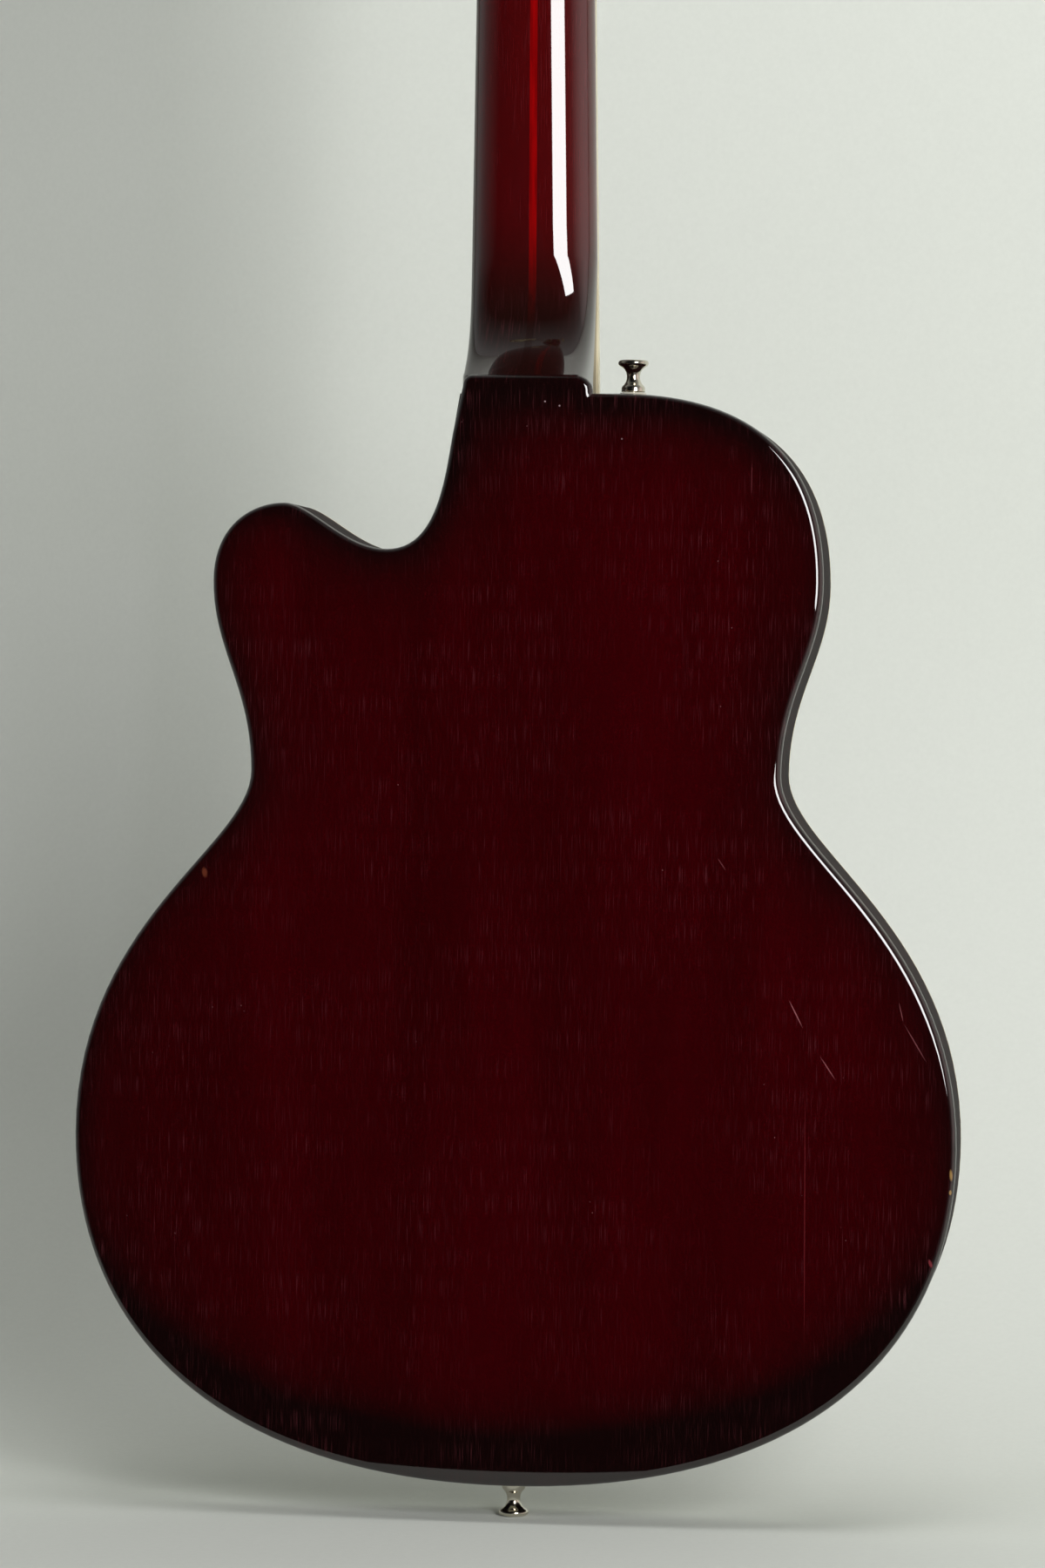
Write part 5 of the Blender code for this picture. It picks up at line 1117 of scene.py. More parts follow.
open_pores = add_node(
    tree, "ShaderNodeMapRange", {"Value": pores.outputs["Fac"], "From Min": 0.58, "From Max": 0.7}
)
dark_pores = add_node(
    tree, "ShaderNodeMix",
    {"Factor": open_pores.outputs[0], "A": tone.outputs["Color"], "B": linear("#1A0D08")},
    data_type="RGBA",
)
tree.links.new(dark_pores.outputs[2], shader.inputs["Base Color"])
sunk = add_node(
    tree, "ShaderNodeBump",
    {"Strength": 0.4, "Distance": 0.0002, "Height": open_pores.outputs[0]}, invert=True,
)
tree.links.new(sunk.outputs["Normal"], shader.inputs["Normal"])


def plated(name, colour, cloudy, rough_low, rough_high):
    """Metal or its plating: clouded where hands touch it, with fine rubbed lines."""
    material, tree, shader = new_material(name, Metallic=1.0)
    place = add_node(tree, "ShaderNodeTexCoord").outputs["Object"]
    clouds = add_node(tree, "ShaderNodeTexNoise", {"Vector": place, "Scale": 140.0, "Detail": 4.0})
    share = add_node(
        tree, "ShaderNodeMapRange", {"Value": clouds.outputs["Fac"], "From Min": 0.35, "From Max": 0.7}
    ).outputs[0]
    tone = add_node(
        tree, "ShaderNodeMix", {"Factor": share, "A": linear(colour), "B": linear(cloudy)},
        data_type="RGBA",
    )
    tree.links.new(tone.outputs[2], shader.inputs["Base Color"])
    rough = add_node(
        tree, "ShaderNodeMapRange", {"Value": share, "To Min": rough_low, "To Max": rough_high}
    )
    tree.links.new(rough.outputs[0], shader.inputs["Roughness"])
    rubbed_place = add_node(tree, "ShaderNodeMapping", {"Vector": place, "Scale": (1800.0, 1800.0, 90.0)})
    rubbed = add_node(tree, "ShaderNodeTexNoise", {"Vector": rubbed_place.outputs[0], "Scale": 1.0})
    lines = add_node(
        tree, "ShaderNodeBump", {"Strength": 0.06, "Distance": 0.0001, "Height": rubbed.outputs["Fac"]}
    )
    tree.links.new(lines.outputs["Normal"], shader.inputs["Normal"])
    return material


nickel_silver = plated("polished_nickel_silver", "#C9C4B4", "#B0A88F", 0.18, 0.34)


def board_form(low, high, left, right, steps, base=FINGERBOARD):
    """A length of the board between two lines, each a side (-1, 0 or 1) and a shift from it."""
    loops = []
    for along in (low, high):
        half = tapered(JOINT_WIDTH, NUT_WIDTH, along) / 2
        xs = np.linspace(left[0] * half + left[1], right[0] * half + right[1], steps + 1)
        loop = [(x, BOARD_CROWN * (x / half) ** 2, along) for x in xs]
        loop += [(xs[-1], base, along), (xs[0], base, along)]
        loops.append([tuple(NECK_FRAME @ Vector(p)) for p in loop])
    return skin(loops)


board = add_piece(
    "crowned_fingerboard",
    *board_form(BOARD_LOW + BOUND_WIDTH, BOARD_HIGH, (-1, BOUND_WIDTH), (1, -BOUND_WIDTH), 24),
    rosewood,
)
fit(board, "fingerboard")
BOARD_EDGES = {
    "bass": (BOARD_LOW, BOARD_HIGH, (-1, 0.0), (-1, BOUND_WIDTH), 2),
    "treble": (BOARD_LOW, BOARD_HIGH, (1, -BOUND_WIDTH), (1, 0.0), 2),
    "end": (BOARD_LOW, BOARD_LOW + BOUND_WIDTH, (-1, BOUND_WIDTH), (1, -BOUND_WIDTH), 24),
}
for name, sizes in BOARD_EDGES.items():
    edge = add_piece(f"board_binding_{name}", *board_form(*sizes), binding_plastic)
    fit(edge, "fingerboard")
fret_loops = []
for across in np.linspace(-1, 1, 13):
    rise = FRET_RISE * (0.35 if abs(across) == 1 else 1.0)
    sunk_by = BOARD_CROWN * across * across
    fret_loops.append([
        (across * 0.985, sunk_by - rise * math.sin(math.pi * k / 8), FRET_HALF * math.cos(math.pi * k / 8))
        for k in range(9)
    ] + [(across * 0.985, sunk_by + 0.8 * MM, -FRET_HALF), (across * 0.985, sunk_by + 0.8 * MM, FRET_HALF)])
places = []
for fret in range(1, FRET_COUNT + 1):
    along = NUT_ALONG - SCALE_LENGTH * (1 - 2 ** (-fret / 12))
    half = tapered(JOINT_WIDTH, NUT_WIDTH, along) / 2
    places.append((NECK_FRAME @ Vector((0, 0, along)), (-NECK_ANGLE, 0.0, 0.0), (half, 1.0, 1.0)))
frets = pieces_at("frets", *skin(fret_loops), places, nickel_silver)
fit(frets, "fingerboard")
# Pearl dots 6 mm across, let in flush between the frets, with a pair at the octave
DOT_FRETS = (3, 5, 7, 9, 12, 12, 15, 17, 19)
DOT_RADIUS = 3.0 * MM
pearl, tree, shader = new_material("polished_pearl_dots", Roughness=0.18)
place = add_node(tree, "ShaderNodeTexCoord").outputs["Object"]
clouds = add_node(
    tree, "ShaderNodeTexNoise", {"Vector": place, "Scale": 330.0, "Detail": 3.0, "Distortion": 2.5}
)
tone = add_node(tree, "ShaderNodeValToRGB", {"Fac": clouds.outputs["Fac"]})
tone.color_ramp.elements[0].position = 0.35
tone.color_ramp.elements[0].color = linear("#C9CEC4")
tone.color_ramp.elements[1].position = 0.65
tone.color_ramp.elements[1].color = linear("#F0EBDD")
tree.links.new(tone.outputs["Color"], shader.inputs["Base Color"])
dot_loops = [
    [(x, y, z) for x, z in round_line(0.0, 0.0, DOT_RADIUS, 28)] for y in (-0.04 * MM, 1.0 * MM)
]
places = []
for k, fret in enumerate(DOT_FRETS):
    near, far = (NUT_ALONG - SCALE_LENGTH * (1 - 2 ** (-n / 12)) for n in (fret - 1, fret))
    x = {4: -11.0 * MM, 5: 11.0 * MM}.get(k, 0.0)
    half = tapered(JOINT_WIDTH, NUT_WIDTH, near) / 2
    sunk_by = BOARD_CROWN * (x / half) ** 2
    places.append(
        (NECK_FRAME @ Vector((x, sunk_by, (near + far) / 2)), (-NECK_ANGLE, 0.0, 0.0), (1.0, 1.0, 1.0))
    )
fit(pieces_at("dots", *skin(dot_loops), places, pearl), "fingerboard")


# Nut and truss rod
# The nut is a block of bone with six filed slots. A steel rod under the board, tightened by
# a brass nut at the headstock, holds the neck straight; a black plastic plate covers it.
bone, tree, shader = new_material("polished_bone", Roughness=0.32, Subsurface_Weight=0.1)
shader.inputs["Subsurface Radius"].default_value = (0.001, 0.0007, 0.0004)
place = add_node(tree, "ShaderNodeTexCoord").outputs["Object"]
veins = add_node(tree, "ShaderNodeTexNoise", {"Vector": place, "Scale": 420.0, "Detail": 3.0})
tone = add_node(
    tree, "ShaderNodeMix", {"Factor": veins.outputs["Fac"], "A": linear("#E9E0C8"), "B": linear("#D2C4A0")},
    data_type="RGBA",
)
tree.links.new(tone.outputs[2], shader.inputs["Base Color"])
fit(node_copy("nut", bone, 0.35 * MM, 3), "nut")
steel = plated("ground_steel", "#B9BABA", "#8E8C88", 0.22, 0.42)
brass = plated("turned_brass", "#C79B4C", "#8F6A30", 0.24, 0.42)
fit(node_copy("truss_rod", steel, 0.3 * MM), "truss_rod")
fit(node_copy("truss_rod_nut", brass, 0.3 * MM), "truss_rod_nut", "truss_nut")
VENEER = 1.2 * MM
VENEER_START = 5.0 * MM
# Black celluloid and moulded plastic: deep, glossy, with faint polishing haze
black_gloss, tree, shader = new_material("polished_black_plastic", Coat_Weight=0.6, Coat_Roughness=0.05)
place = add_node(tree, "ShaderNodeTexCoord").outputs["Object"]
haze = add_node(tree, "ShaderNodeTexNoise", {"Vector": place, "Scale": 160.0, "Detail": 4.0})
tone = add_node(
    tree, "ShaderNodeMix", {"Factor": haze.outputs["Fac"], "A": linear("#0B0B0D"), "B": linear("#17161A")},
    data_type="RGBA",
)
tree.links.new(tone.outputs[2], shader.inputs["Base Color"])
rough = add_node(tree, "ShaderNodeMapRange", {"Value": haze.outputs["Fac"], "To Min": 0.16, "To Max": 0.34})
tree.links.new(rough.outputs[0], shader.inputs["Roughness"])
front_stations = [VENEER_START] + [along for along in stations if along > VENEER_START + 0.1 * MM]


def plate_form(line, low, high):
    """A flat plate on the headstock from one half of its outline as (half width, along)."""
    full = [(x, z) for x, z in line] + [(-x, z) for x, z in reversed(line)]
    return skin([[tuple(HEAD_FRAME @ Vector((x, y, z))) for x, z in full] for y in (low, high)])


veneer_line = [(head_width(along) / 2 - 0.3 * MM, along) for along in front_stations]
veneer = add_piece("headstock_front", *plate_form(veneer_line, -VENEER, 0.0), black_gloss)
for side in (-1, 1):
    for row, along in enumerate(TUNER_ROWS):
        hole = [
            [tuple(HEAD_FRAME @ Vector((x, y, z))) for x, z in round_line(side * TUNER_X, along, POST_HOLE / 2, 24)]
            for y in (-0.02, 0.03)
        ]
        cut(veneer, f"veneer_hole_{side}_{row}", *skin(hole))
cut(veneer, "veneer_pocket", *box_form(*(np.array(c) * MM for c in NUT_POCKET), NECK_FRAME))
veneer.data.shade_smooth()
veneer.data.set_sharp_from_angle(angle=math.radians(30))
fit(veneer, "headstock_veneer")
COVER = (1.5 * MM, 42.0 * MM, 12.0 * MM, 22.0 * MM, 1.6 * MM)
cover_line = []
for k in range(33):
    t = k / 32
    width = COVER[2] + (COVER[3] - COVER[2]) * math.sin(math.pi * t)
    cover_line.append((width / 2, COVER[0] + (COVER[1] - COVER[0]) * t))
cover_low = -VENEER - 0.3 * MM - COVER[4]
loops = []
for level, less in ((cover_low, 0.5), (cover_low + 0.2 * MM, 0.15), (cover_low + 0.5 * MM, 0.0), (cover_low + COVER[4], 0.0)):
    line = [(x - less * MM, min(max(z, COVER[0] + less * MM), COVER[1] - less * MM)) for x, z in cover_line]
    full = line + [(-x, z) for x, z in reversed(line)]
    loops.append([tuple(HEAD_FRAME @ Vector((x, level, z))) for x, z in full])
fit(add_piece("rod_cover", *skin(loops), black_gloss), "truss_rod_cover")

nickel = plated("worn_nickel_plate", "#D0CABC", "#C6BFAF", 0.13, 0.19)


def turned(name, profile, frame, material, sides=48, bore=0.0, flat=1.0):
    """A turned piece round its frame's Z axis from (radius, height) pairs, perhaps bored."""
    full = [(bore, profile[0][1])] + profile + [(bore, profile[-1][1])] if bore else profile
    loops = [
        [
            tuple(frame @ Vector((
                flat * max(radius, 1e-6) * math.cos(2 * math.pi * k / sides),
                max(radius, 1e-6) * math.sin(2 * math.pi * k / sides), height,
            )))
            for k in range(sides)
        ]
        for radius, height in full
    ]
    return add_piece(name, *skin(loops, ring=bool(bore)), material, 35.0)


def form_of(piece):
    """A finished small piece as points and faces, to be repeated."""
    points = [tuple(v.co) for v in piece.data.vertices]
    faces = [tuple(p.vertices) for p in piece.data.polygons]
    bpy.data.objects.remove(piece)
    return points, faces


# A domed screw head with a crossed recess, 3.4 mm across
screw = turned(
    "screw_head", [(0.0, 0.9 * MM), (0.8 * MM, 0.82 * MM), (1.35 * MM, 0.5 * MM), (1.7 * MM, 0.05 * MM), (1.7 * MM, -0.3 * MM), (0.0, -0.3 * MM)],
    Matrix.Identity(4), nickel, 20,
)
for turn in (0, 90):
    arm = box_form((-1.1 * MM, -0.17 * MM, 0.35 * MM), (1.1 * MM, 0.17 * MM, 1.5 * MM), Matrix.Rotation(math.radians(turn), 4, "Z"))
    cut(screw, f"recess_{turn}", *arm)
screw_points, screw_faces = form_of(screw)


def screws(name, places, frame, toward, slot_node, spin=3.0):
    """Screw heads at places in a frame, facing out along its +Y or -Y."""
    turn = (frame.to_3x3() @ Matrix.Rotation(math.radians(-90 * toward), 3, "X")).to_euler()
    spots = [(frame @ Vector(p), tuple(turn), (1.0, 1.0, 1.0)) for p in places]
    return fit(pieces_at(name, screw_points, screw_faces, spots, nickel, spin), slot_node)


screws(
    "rod_cover_screws", [(0, cover_low, 6.0 * MM), (0, cover_low, 37.5 * MM)], HEAD_FRAME, -1,
    "truss_rod_cover",
)


# Tuners
# Two nickel-plated strips, each screwed to the headstock and carrying three keys. A key's
# worm turns a 14-tooth gear on the post that winds the string; the buttons are cream plastic.
PLATE_BACK = 15.8 * MM
GEAR_LOW = 16.7 * MM
GEAR_THICKNESS = 3.2 * MM
GEAR_RADIUS = 5.0 * MM
GEAR_TEETH = 14
GEAR_TOOTH = 0.8 * MM
WORM_OFFSET = 7.7 * MM
WORM_Y = GEAR_LOW + GEAR_THICKNESS / 2
POST_TOP = -VENEER - 9.5 * MM
KEY_OUT = 75.0 * MM / 2 + 14.0 * MM - TUNER_X
cream_plastic, tree, shader = new_material(
    "aged_cream_buttons", Roughness=0.22, Subsurface_Weight=0.15, Coat_Weight=0.4, Coat_Roughness=0.08
)
shader.inputs["Subsurface Radius"].default_value = (0.002, 0.0014, 0.0008)
place = add_node(tree, "ShaderNodeTexCoord").outputs["Object"]
swirl = add_node(
    tree, "ShaderNodeTexNoise", {"Vector": place, "Scale": 170.0, "Detail": 2.0, "Distortion": 1.6}
)
tone = add_node(
    tree, "ShaderNodeMix", {"Factor": swirl.outputs["Fac"], "A": linear("#E8DDBE"), "B": linear("#CDB98A")},
    data_type="RGBA",
)
tree.links.new(tone.outputs[2], shader.inputs["Base Color"])
ON_BACK = Matrix.Rotation(math.radians(-90), 4, "X")
gear_loops = []
for height, less in ((0.0, 0.25), (0.25, 0.0), (2.95, 0.0), (3.2, 0.25)):
    loop = []
    for k in range(6 * GEAR_TEETH):
        wave = math.cos(2 * math.pi * k / 6)
        radius = GEAR_RADIUS - GEAR_TOOTH * (0.5 - 0.5 * max(-1.0, min(1.0, 1.6 * wave))) - less * MM
        angle = 2 * math.pi * k / (6 * GEAR_TEETH)
        loop.append((radius * math.cos(angle), radius * math.sin(angle), height * MM))
    gear_loops.append(loop)
for side_name, side in (("bass", -1), ("treble", 1)):
    strip_name = "tuner_strip_" + side_name
    fit(node_copy(strip_name, nickel, 0.25 * MM, 1), strip_name)
    alongs = [TUNER_ROWS[0] - 8.5 * MM, TUNER_ROWS[0] + 22 * MM, TUNER_ROWS[1] + 22 * MM, TUNER_ROWS[2] + 13.4 * MM]
    screws(
        "strip_screws_" + side_name, [(side * (TUNER_X + 0.5 * MM), PLATE_BACK, z) for z in alongs],
        HEAD_FRAME, 1, strip_name,
    )
    for row, along in enumerate(TUNER_ROWS):
        post_name = f"tuner_post_{side_name}_{row + 1}"
        key_name = f"tuner_key_{side_name}_{row + 1}"
        post_body = f"post_{side_name}_{row + 1}"
        key_body = f"key_{side_name}_{row + 1}"
        seat = HEAD_FRAME @ Matrix.Translation((side * TUNER_X, 0, along)) @ ON_BACK
        profile = [
            (0.0, POST_TOP), (2.3 * MM, POST_TOP), (2.85 * MM, POST_TOP + 0.2 * MM),
            (3.1 * MM, POST_TOP + 0.7 * MM), (3.1 * MM, GEAR_LOW + 0.2 * MM), (0.0, GEAR_LOW + 0.2 * MM),
        ]
        fit(turned(post_name + "_turned", profile, seat, nickel, 32), post_name, post_body)
        gear = [
            [tuple(seat @ Matrix.Translation((0, 0, GEAR_LOW)) @ Vector(p)) for p in loop]
            for loop in gear_loops
        ]
        fit(add_piece(post_name + "_gear", *skin(gear), brass, 30.0), post_name, post_body)
        centre = seat @ Matrix.Translation((0, 0, GEAR_LOW + GEAR_THICKNESS))
        head_points = [tuple(centre @ Vector(p)) for p in screw_points]
        fit(add_piece(post_name + "_screw", head_points, screw_faces, nickel, 30.0), post_name, post_body)
        axis = (
            HEAD_FRAME @ Matrix.Translation((side * TUNER_X, WORM_Y, along + WORM_OFFSET))
            @ Matrix.Rotation(math.radians(90 * side), 4, "Y")
        )
        worm = [(0.0, -7.6 * MM), (1.3 * MM, -7.6 * MM), (1.5 * MM, -7.4 * MM), (1.5 * MM, -4.2 * MM)]
        for k in range(29):
            worm.append(((1.85 - 0.35 * math.cos(math.pi * k / 2)) * MM, (-4.2 + 8.4 * k / 28) * MM))
        worm += [(1.5 * MM, 4.2 * MM), (1.5 * MM, KEY_OUT), (3.2 * MM, KEY_OUT + 0.3 * MM)]
        worm += [(3.6 * MM, KEY_OUT + 0.7 * MM), (2.6 * MM, KEY_OUT + 2.0 * MM), (0.0, KEY_OUT + 2.2 * MM)]
        fit(turned(key_name + "_worm", worm, axis, nickel, 24), key_name, key_body)
        button = [(0.0, KEY_OUT + 0.9 * MM)]
        for k in range(1, 24):
            t = math.pi * k / 24
            button.append((8.3 * MM * math.sin(t) ** 0.7, KEY_OUT + (6.95 - 6.05 * math.cos(t)) * MM))
        button.append((0.0, KEY_OUT + 13.0 * MM))
        fit(turned(key_name + "_button", button, axis, cream_plastic, 40, flat=0.42), key_name, key_body)


# Pickup
# A coil under a nickel-plated brass cover, set into the top below the fingerboard's end,
# with one adjustable pole screw for each string.
POLE_PITCH = 10.2 * MM
fit(node_copy("pickup_cover", nickel, 1.1 * MM, 4), "pickup_cover")
fit(node_copy("pickup_coil", black_gloss, 1.0 * MM, 3), "pickup_coil")
tilt = Matrix.Rotation(-NECK_ANGLE, 4, "X")
cover_places = [tilt.inverted() @ v.co for v in nodes["pickup_cover"].data.vertices]
cover_front = min(p.y for p in cover_places)
cover_middle = (min(p.z for p in cover_places) + max(p.z for p in cover_places)) / 2
screws(
    "pole_screws", [(POLE_PITCH * (k - 2.5), cover_front, cover_middle - 9.0 * MM) for k in range(6)],
    tilt, -1, "pickup_cover",
)


# Controls and jack
# Two fluted black knobs on shafts that turn in the volume and tone pots under the top, and
# the output jack, held in the rim by its flange and nut.
KNOB_RADIUS = 10.6 * MM
FLUTES = 36


def node_box(name):
    corners = [nodes[name].matrix_world @ Vector(c) for c in nodes[name].bound_box]
    return [Vector([pick(c[k] for c in corners) for k in range(3)]) for pick in (min, max)]


for name in ("volume", "tone"):
    low, high = node_box(name + "_knob")
    x, z = (low.x + high.x) / 2, (low.z + high.z) / 2
    seat = Matrix.Translation((x, low.y, z)) @ ON_BACK
    skirt = [(0.0, 0.5 * MM), (6.6 * MM, 0.5 * MM), (7.2 * MM, 0.0), (8.6 * MM, 0.0), (9.3 * MM, 0.5 * MM)]
    skirt += [(9.8 * MM, 1.6 * MM), (KNOB_RADIUS, 13.0 * MM), (3.0 * MM, 13.0 * MM)]
    skirt += [(3.0 * MM, high.y - low.y), (0.0, high.y - low.y)]
    fit(turned(name + "_knob_turned", skirt, seat, black_gloss, 64), name + "_knob", name + "_control")
    rib, rib_faces = box_form((-0.3 * MM, -0.38 * MM, 0.0), (0.36 * MM, 0.38 * MM, 10.6 * MM))
    spots = []
    for k in range(FLUTES):
        angle = 2 * math.pi * k / FLUTES
        spot = seat @ Vector((KNOB_RADIUS * math.cos(angle) - 0.1 * MM * math.cos(angle), KNOB_RADIUS * math.sin(angle) - 0.1 * MM * math.sin(angle), 2.2 * MM))
        turn = (ON_BACK.to_3x3() @ Matrix.Rotation(angle, 3, "Z")).to_euler()
        spots.append((spot, tuple(turn), (1.0, 1.0, 1.0)))
    fit(pieces_at(name + "_flutes", rib, rib_faces, spots, black_gloss), name + "_knob", name + "_control")
    dot = seat @ Matrix.Translation((0, -8.0 * MM, 0))
    mark = [(0.0, -0.05 * MM), (0.55 * MM, -0.05 * MM), (0.6 * MM, 0.3 * MM), (0.0, 0.3 * MM)]
    fit(turned(name + "_mark", mark, dot, cream_plastic, 20), name + "_knob", name + "_control")
    low, high = node_box(name + "_pot")
    seat = Matrix.Translation((x, low.y, z)) @ ON_BACK
    tall = high.y - low.y
    can = [(4.3 * MM, 0.0), (4.7 * MM, 0.4 * MM), (4.7 * MM, tall - 9.0 * MM), (11.2 * MM, tall - 9.0 * MM)]
    can += [(12.0 * MM, tall - 8.4 * MM), (12.0 * MM, tall - 1.2 * MM), (11.6 * MM, tall - 0.4 * MM), (10.6 * MM, tall)]
    fit(turned(name + "_pot_turned", can, seat, steel, 48, bore=3.08 * MM), name + "_pot")
low, high = node_box("output_jack")
seat = Matrix.Translation((high.x, 0, (low.z + high.z) / 2)) @ Matrix.Rotation(math.radians(90), 4, "Y")
barrel = [(5.8 * MM, -28.0 * MM), (5.8 * MM, -2.0 * MM), (7.3 * MM, -2.0 * MM), (7.5 * MM, -1.8 * MM)]
barrel += [(7.5 * MM, -1.4 * MM), (7.2 * MM, -1.2 * MM), (4.9 * MM, -1.2 * MM), (4.9 * MM, -0.15 * MM), (4.6 * MM, 0.0)]
fit(turned("jack_turned", barrel, seat, nickel, 48, bore=3.3 * MM), "output_jack")
ring_nut = [(6.3 * MM, -1.2 * MM), (6.6 * MM, -1.0 * MM), (6.6 * MM, -0.5 * MM), (6.2 * MM, -0.3 * MM)]
fit(turned("jack_nut", ring_nut, seat, nickel, 6, bore=4.95 * MM), "output_jack")


# Bridge
# A rosewood base with two feet stands on the arched top; its brass posts are threaded, and
# the two knurled wheels on them carry the rosewood saddle and set its height.
fit(node_copy("bridge_base", rosewood, 0.6 * MM, 3), "bridge_base")
fit(node_copy("bridge_saddle", rosewood, 0.3 * MM, 2), "bridge_saddle", "saddle")
WHEEL_RADIUS = 7.75 * MM
KNURLS = 56
for side_name in ("bass", "treble"):
    low, high = node_box("bridge_post_" + side_name)
    x, z = (low.x + high.x) / 2, (low.z + high.z) / 2
    seat = Matrix.Translation((x, low.y, z)) @ ON_BACK
    tall = high.y - low.y
    rounds = int(tall / (0.6 * MM))
    thread = [(0.0, 0.0), (1.4 * MM, 0.0)]
    for k in range(rounds):
        thread += [(1.6 * MM, tall * (k + 0.2) / rounds), (1.9 * MM, tall * (k + 0.7) / rounds)]
    thread += [(1.5 * MM, tall), (0.0, tall)]
    fit(turned("post_thread_" + side_name, thread, seat, brass, 24), "bridge_post_" + side_name)
    low, high = node_box("thumbwheel_" + side_name)
    seat = Matrix.Translation((x, low.y, z)) @ ON_BACK
    rim_line = [(6.9 * MM, 0.0), (7.5 * MM, 0.15 * MM), (WHEEL_RADIUS, 0.4 * MM), (WHEEL_RADIUS, 2.0 * MM), (7.5 * MM, 2.25 * MM), (6.9 * MM, 2.4 * MM)]
    wheel_node, wheel_body = "thumbwheel_" + side_name, "wheel_" + side_name
    fit(turned(wheel_node + "_turned", rim_line, seat, brass, 56, bore=1.98 * MM), wheel_node, wheel_body)
    ridge, ridge_faces = box_form((-0.2 * MM, -0.24 * MM, 0.35 * MM), (0.25 * MM, 0.24 * MM, 2.05 * MM))
    spots = []
    for k in range(KNURLS):
        angle = 2 * math.pi * k / KNURLS
        spot = seat @ Vector((WHEEL_RADIUS * math.cos(angle), WHEEL_RADIUS * math.sin(angle), 0.0))
        turn = (ON_BACK.to_3x3() @ Matrix.Rotation(angle, 3, "Z")).to_euler()
        spots.append((spot, tuple(turn), (1.0, 1.0, 1.0)))
    fit(pieces_at(wheel_node + "_knurls", ridge, ridge_faces, spots, brass), wheel_node, wheel_body)


# Tailpiece
# A bent nickel-plated bracket is held under the end button. On its hinge pin swings a
# trapeze of two bent rods brazed to a slotted bar that anchors the strings.
ROD_RADIUS = 2.3 * MM
fit(node_copy("tailpiece_bracket", nickel, 0.35 * MM, 2), "tailpiece_bracket")
low, high = node_box("tailpiece_pin")
HINGE = (low + high) / 2
half = (high.x - low.x) / 2
along_x = Matrix.Translation(HINGE) @ Matrix.Rotation(math.radians(90), 4, "Y")
pin_line = [(0.0, -half), (0.9 * MM, -half), (1.3 * MM, 0.4 * MM - half), (1.3 * MM, half - 0.4 * MM), (0.9 * MM, half), (0.0, half)]
fit(turned("hinge_pin", pin_line, along_x, steel, 24), "tailpiece_pin")
low, high = node_box("tailpiece_trapeze")
bar_middle = Vector((0, low.y + 3.5 * MM, high.z - 5.0 * MM))
bar_loops = []
for x, less in ((low.x, 0.8), (low.x + 0.25 * MM, 0.25), (low.x + 0.8 * MM, 0.0), (high.x - 0.8 * MM, 0.0), (high.x - 0.25 * MM, 0.25), (high.x, 0.8)):
    loop = []
    for k in range(32):
        angle = 2 * math.pi * (k + 0.5) / 32
        y = math.copysign(abs(math.cos(angle)) ** 0.4, math.cos(angle)) * (3.5 - less) * MM
        z = math.copysign(abs(math.sin(angle)) ** 0.4, math.sin(angle)) * (5.0 - less) * MM
        loop.append((x, bar_middle.y + y, bar_middle.z + z))
    bar_loops.append(loop)
bar = add_piece("string_bar", *skin(bar_loops), nickel, 35.0)
STRINGS = (1.32, 1.07, 0.81, 0.61, 0.41, 0.30)
for index, diameter in enumerate(STRINGS):
    x = (index / 5 - 0.5) * 52.0 * MM
    reach = (diameter / 2 + 0.35) * MM
    slot = box_form((x - reach, low.y - 2.6 * MM, 0.0), (x + reach, low.y + 2.6 * MM, 0.2))
    cut(bar, f"string_slot_{index}", *slot)
bar.data.shade_smooth()
bar.data.set_sharp_from_angle(angle=math.radians(35))
fit(bar, "tailpiece_trapeze")
for side_name, side in (("bass", -1), ("treble", 1)):
    foot = Vector((side * 8.4 * MM, HINGE.y, HINGE.z))
    bend = Vector((side * 34.0 * MM, bar_middle.y, bar_middle.z - 14.0 * MM))
    top_end = Vector((side * 38.0 * MM, bar_middle.y, bar_middle.z))
    near, far = foot.lerp(bend, 0.8), bend.lerp(top_end, 0.75)
    path = [foot] + [
        near * (1 - t) ** 2 + bend * 2 * t * (1 - t) + far * t * t for t in np.linspace(0, 1, 13)
    ] + [top_end]
    loops = []
    for k, point in enumerate(path):
        along = (path[min(k + 1, len(path) - 1)] - path[max(k - 1, 0)]).normalized()
        across = along.cross(Vector((0, 1, 0))).normalized()
        other = along.cross(across)
        loops.append([
            tuple(point + (across * math.cos(math.pi * j / 10) + other * math.sin(math.pi * j / 10)) * ROD_RADIUS)
            for j in range(20)
        ])
    rod = add_piece("trapeze_rod_" + side_name, *skin(loops), nickel, 40.0)
    eye_line = [(2.7 * MM, -2.5 * MM), (3.0 * MM, -2.2 * MM), (3.0 * MM, 2.2 * MM), (2.7 * MM, 2.5 * MM)]
    eye_seat = Matrix.Translation(foot) @ Matrix.Rotation(math.radians(90), 4, "Y")
    bore = [[tuple(eye_seat @ Vector((1.38 * MM * math.cos(a), 1.38 * MM * math.sin(a), h))) for a in np.arange(24) * math.pi / 12] for h in (-0.02, 0.02)]
    cut(rod, "rod_bore_" + side_name, *skin(bore))
    fit(rod, "tailpiece_trapeze")
    eye = turned("hinge_eye_" + side_name, eye_line, eye_seat, nickel, 32, bore=1.38 * MM)
    fit(eye, "tailpiece_trapeze")


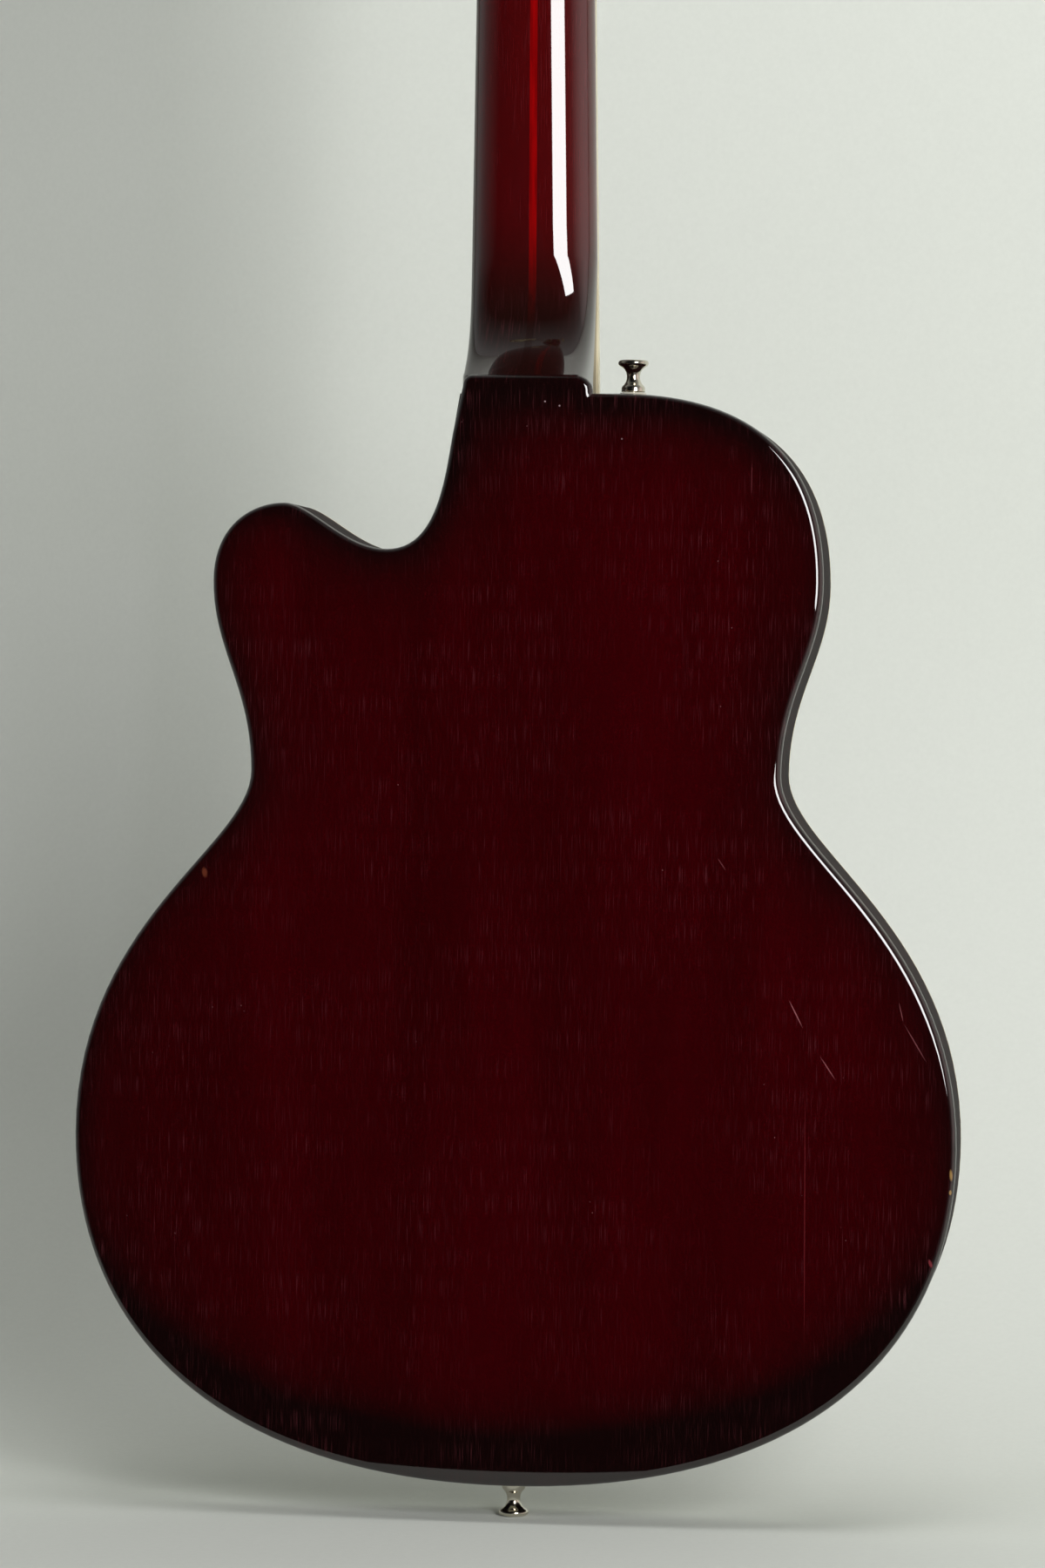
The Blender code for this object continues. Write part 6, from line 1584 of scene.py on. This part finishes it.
# Strap buttons
# Turned brass, nickel-plated, each on its own wood screw: one in the tail, which also holds
# the bracket, and one in the shoulder beside the neck on a washer of pale felt.
BUTTON = (
    (0.0, 0.75), (2.5, 0.75), (2.75, 0.3), (4.6, 0.02), (5.4, 0.0), (5.85, 0.3), (6.1, 0.9),
    (6.05, 1.5), (5.6, 2.1), (4.6, 2.7), (3.6, 3.5), (2.95, 4.6), (2.62, 6.0), (2.68, 7.4),
    (3.05, 8.6), (3.75, 9.6), (4.4, 10.3), (4.7, 10.9), (4.7, 12.35), (4.5, 12.6), (2.0, 12.6),
    (2.0, 36.6), (0.5, 40.6), (0.0, 40.6),
)
end_seat = Matrix.Identity(4)
low, high = node_box("strap_button_shoulder")
shoulder_seat = Matrix.Translation(((low.x + high.x) / 2, 0, high.z)) @ Matrix.Rotation(math.pi, 4, "X")
for name, seat in (("strap_button_end", end_seat), ("strap_button_shoulder", shoulder_seat)):
    line = [(radius * MM, height * MM) for radius, height in BUTTON]
    fit(turned(name + "_turned", line, seat, nickel, 56), name)
    head = [(0.0, 0.12 * MM), (1.2 * MM, 0.2 * MM), (2.1 * MM, 0.5 * MM), (2.3 * MM, 0.8 * MM), (0.0, 0.8 * MM)]
    head = turned(name + "_screw_head", head, seat, steel, 32)
    for turn in (20, 110):
        arm = box_form((-1.6 * MM, -0.25 * MM, -1 * MM), (1.6 * MM, 0.25 * MM, 0.6 * MM), seat @ Matrix.Rotation(math.radians(turn), 4, "Z"))
        cut(head, f"{name}_recess_{turn}", *arm)
    fit(head, name)
felt, tree, shader = new_material("pale_pressed_felt", Roughness=1.0, Sheen_Weight=0.6)
place = add_node(tree, "ShaderNodeTexCoord").outputs["Object"]
hairs = add_node(tree, "ShaderNodeTexNoise", {"Vector": place, "Scale": 2600.0, "Detail": 3.0, "Distortion": 2.0})
tone = add_node(
    tree, "ShaderNodeMix", {"Factor": hairs.outputs["Fac"], "A": linear("#DAD5C4"), "B": linear("#A9A290")},
    data_type="RGBA",
)
tree.links.new(tone.outputs[2], shader.inputs["Base Color"])
fuzz = add_node(tree, "ShaderNodeBump", {"Strength": 0.8, "Distance": 0.0003, "Height": hairs.outputs["Fac"]})
tree.links.new(fuzz.outputs["Normal"], shader.inputs["Normal"])
low, high = node_box("felt_washer")
seat = Matrix.Translation(((low.x + high.x) / 2, 0, low.z))
washer = [(5.1 * MM, 0.0), (5.3 * MM, 0.3 * MM), (5.3 * MM, 0.9 * MM), (5.1 * MM, 1.2 * MM)]
fit(turned("felt_ring", washer, seat, felt, 40, bore=2.3 * MM), "felt_washer")


# Strings
# Three wound in nickel and three plain steel, each wound twice round its post, laid over nut
# and saddle, and held behind the tailpiece's bar by the brass ball in its looped end.
wound, tree, shader = new_material("wound_nickel_strings", Metallic=1.0, Roughness=0.3)
place = add_node(tree, "ShaderNodeTexCoord").outputs["Object"]
turns = add_node(
    tree, "ShaderNodeTexWave", {"Vector": place, "Scale": 1 / 0.0022, "Distortion": 0.2},
    bands_direction="Z",
)
# Painted shade: the colour is darker in the grooves between the windings, where the bump sinks, and paler on their
# crowns
tone = add_node(
    tree, "ShaderNodeMix", {"Factor": turns.outputs["Fac"], "A": linear("#7E7868"), "B": linear("#C6C0B0")},
    data_type="RGBA",
)
tree.links.new(tone.outputs[2], shader.inputs["Base Color"])
ribbed = add_node(tree, "ShaderNodeBump", {"Strength": 0.5, "Distance": 0.0001, "Height": turns.outputs["Fac"]})
tree.links.new(ribbed.outputs["Normal"], shader.inputs["Normal"])
for index in range(6):
    name = f"string_{6 - index}"
    slot, material = ("nickel", wound) if index < 3 else ("steel", steel)
    fit(node_copy(name, material, smooth_angle=70.0), name)
    corners = [v.co for v in nodes[name].data.vertices]
    lowest = min(c.z for c in corners)
    tail_end = [c for c in corners if c.z < lowest + 0.1 * MM]
    middle = sum(tail_end, Vector()) / len(tail_end)
    seat = Matrix.Translation(middle) @ Matrix.Rotation(math.radians(90), 4, "Y")
    ball = [(1.5 * MM, -1.5 * MM), (1.85 * MM, -1.3 * MM), (1.4 * MM, -0.5 * MM), (1.4 * MM, 0.5 * MM), (1.85 * MM, 1.3 * MM), (1.5 * MM, 1.5 * MM)]
    fit(turned(f"ball_end_{6 - index}", ball, seat, brass, 20, bore=0.8 * MM), name)


# Bounds of the finished model, without the backdrop
lowest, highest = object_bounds()
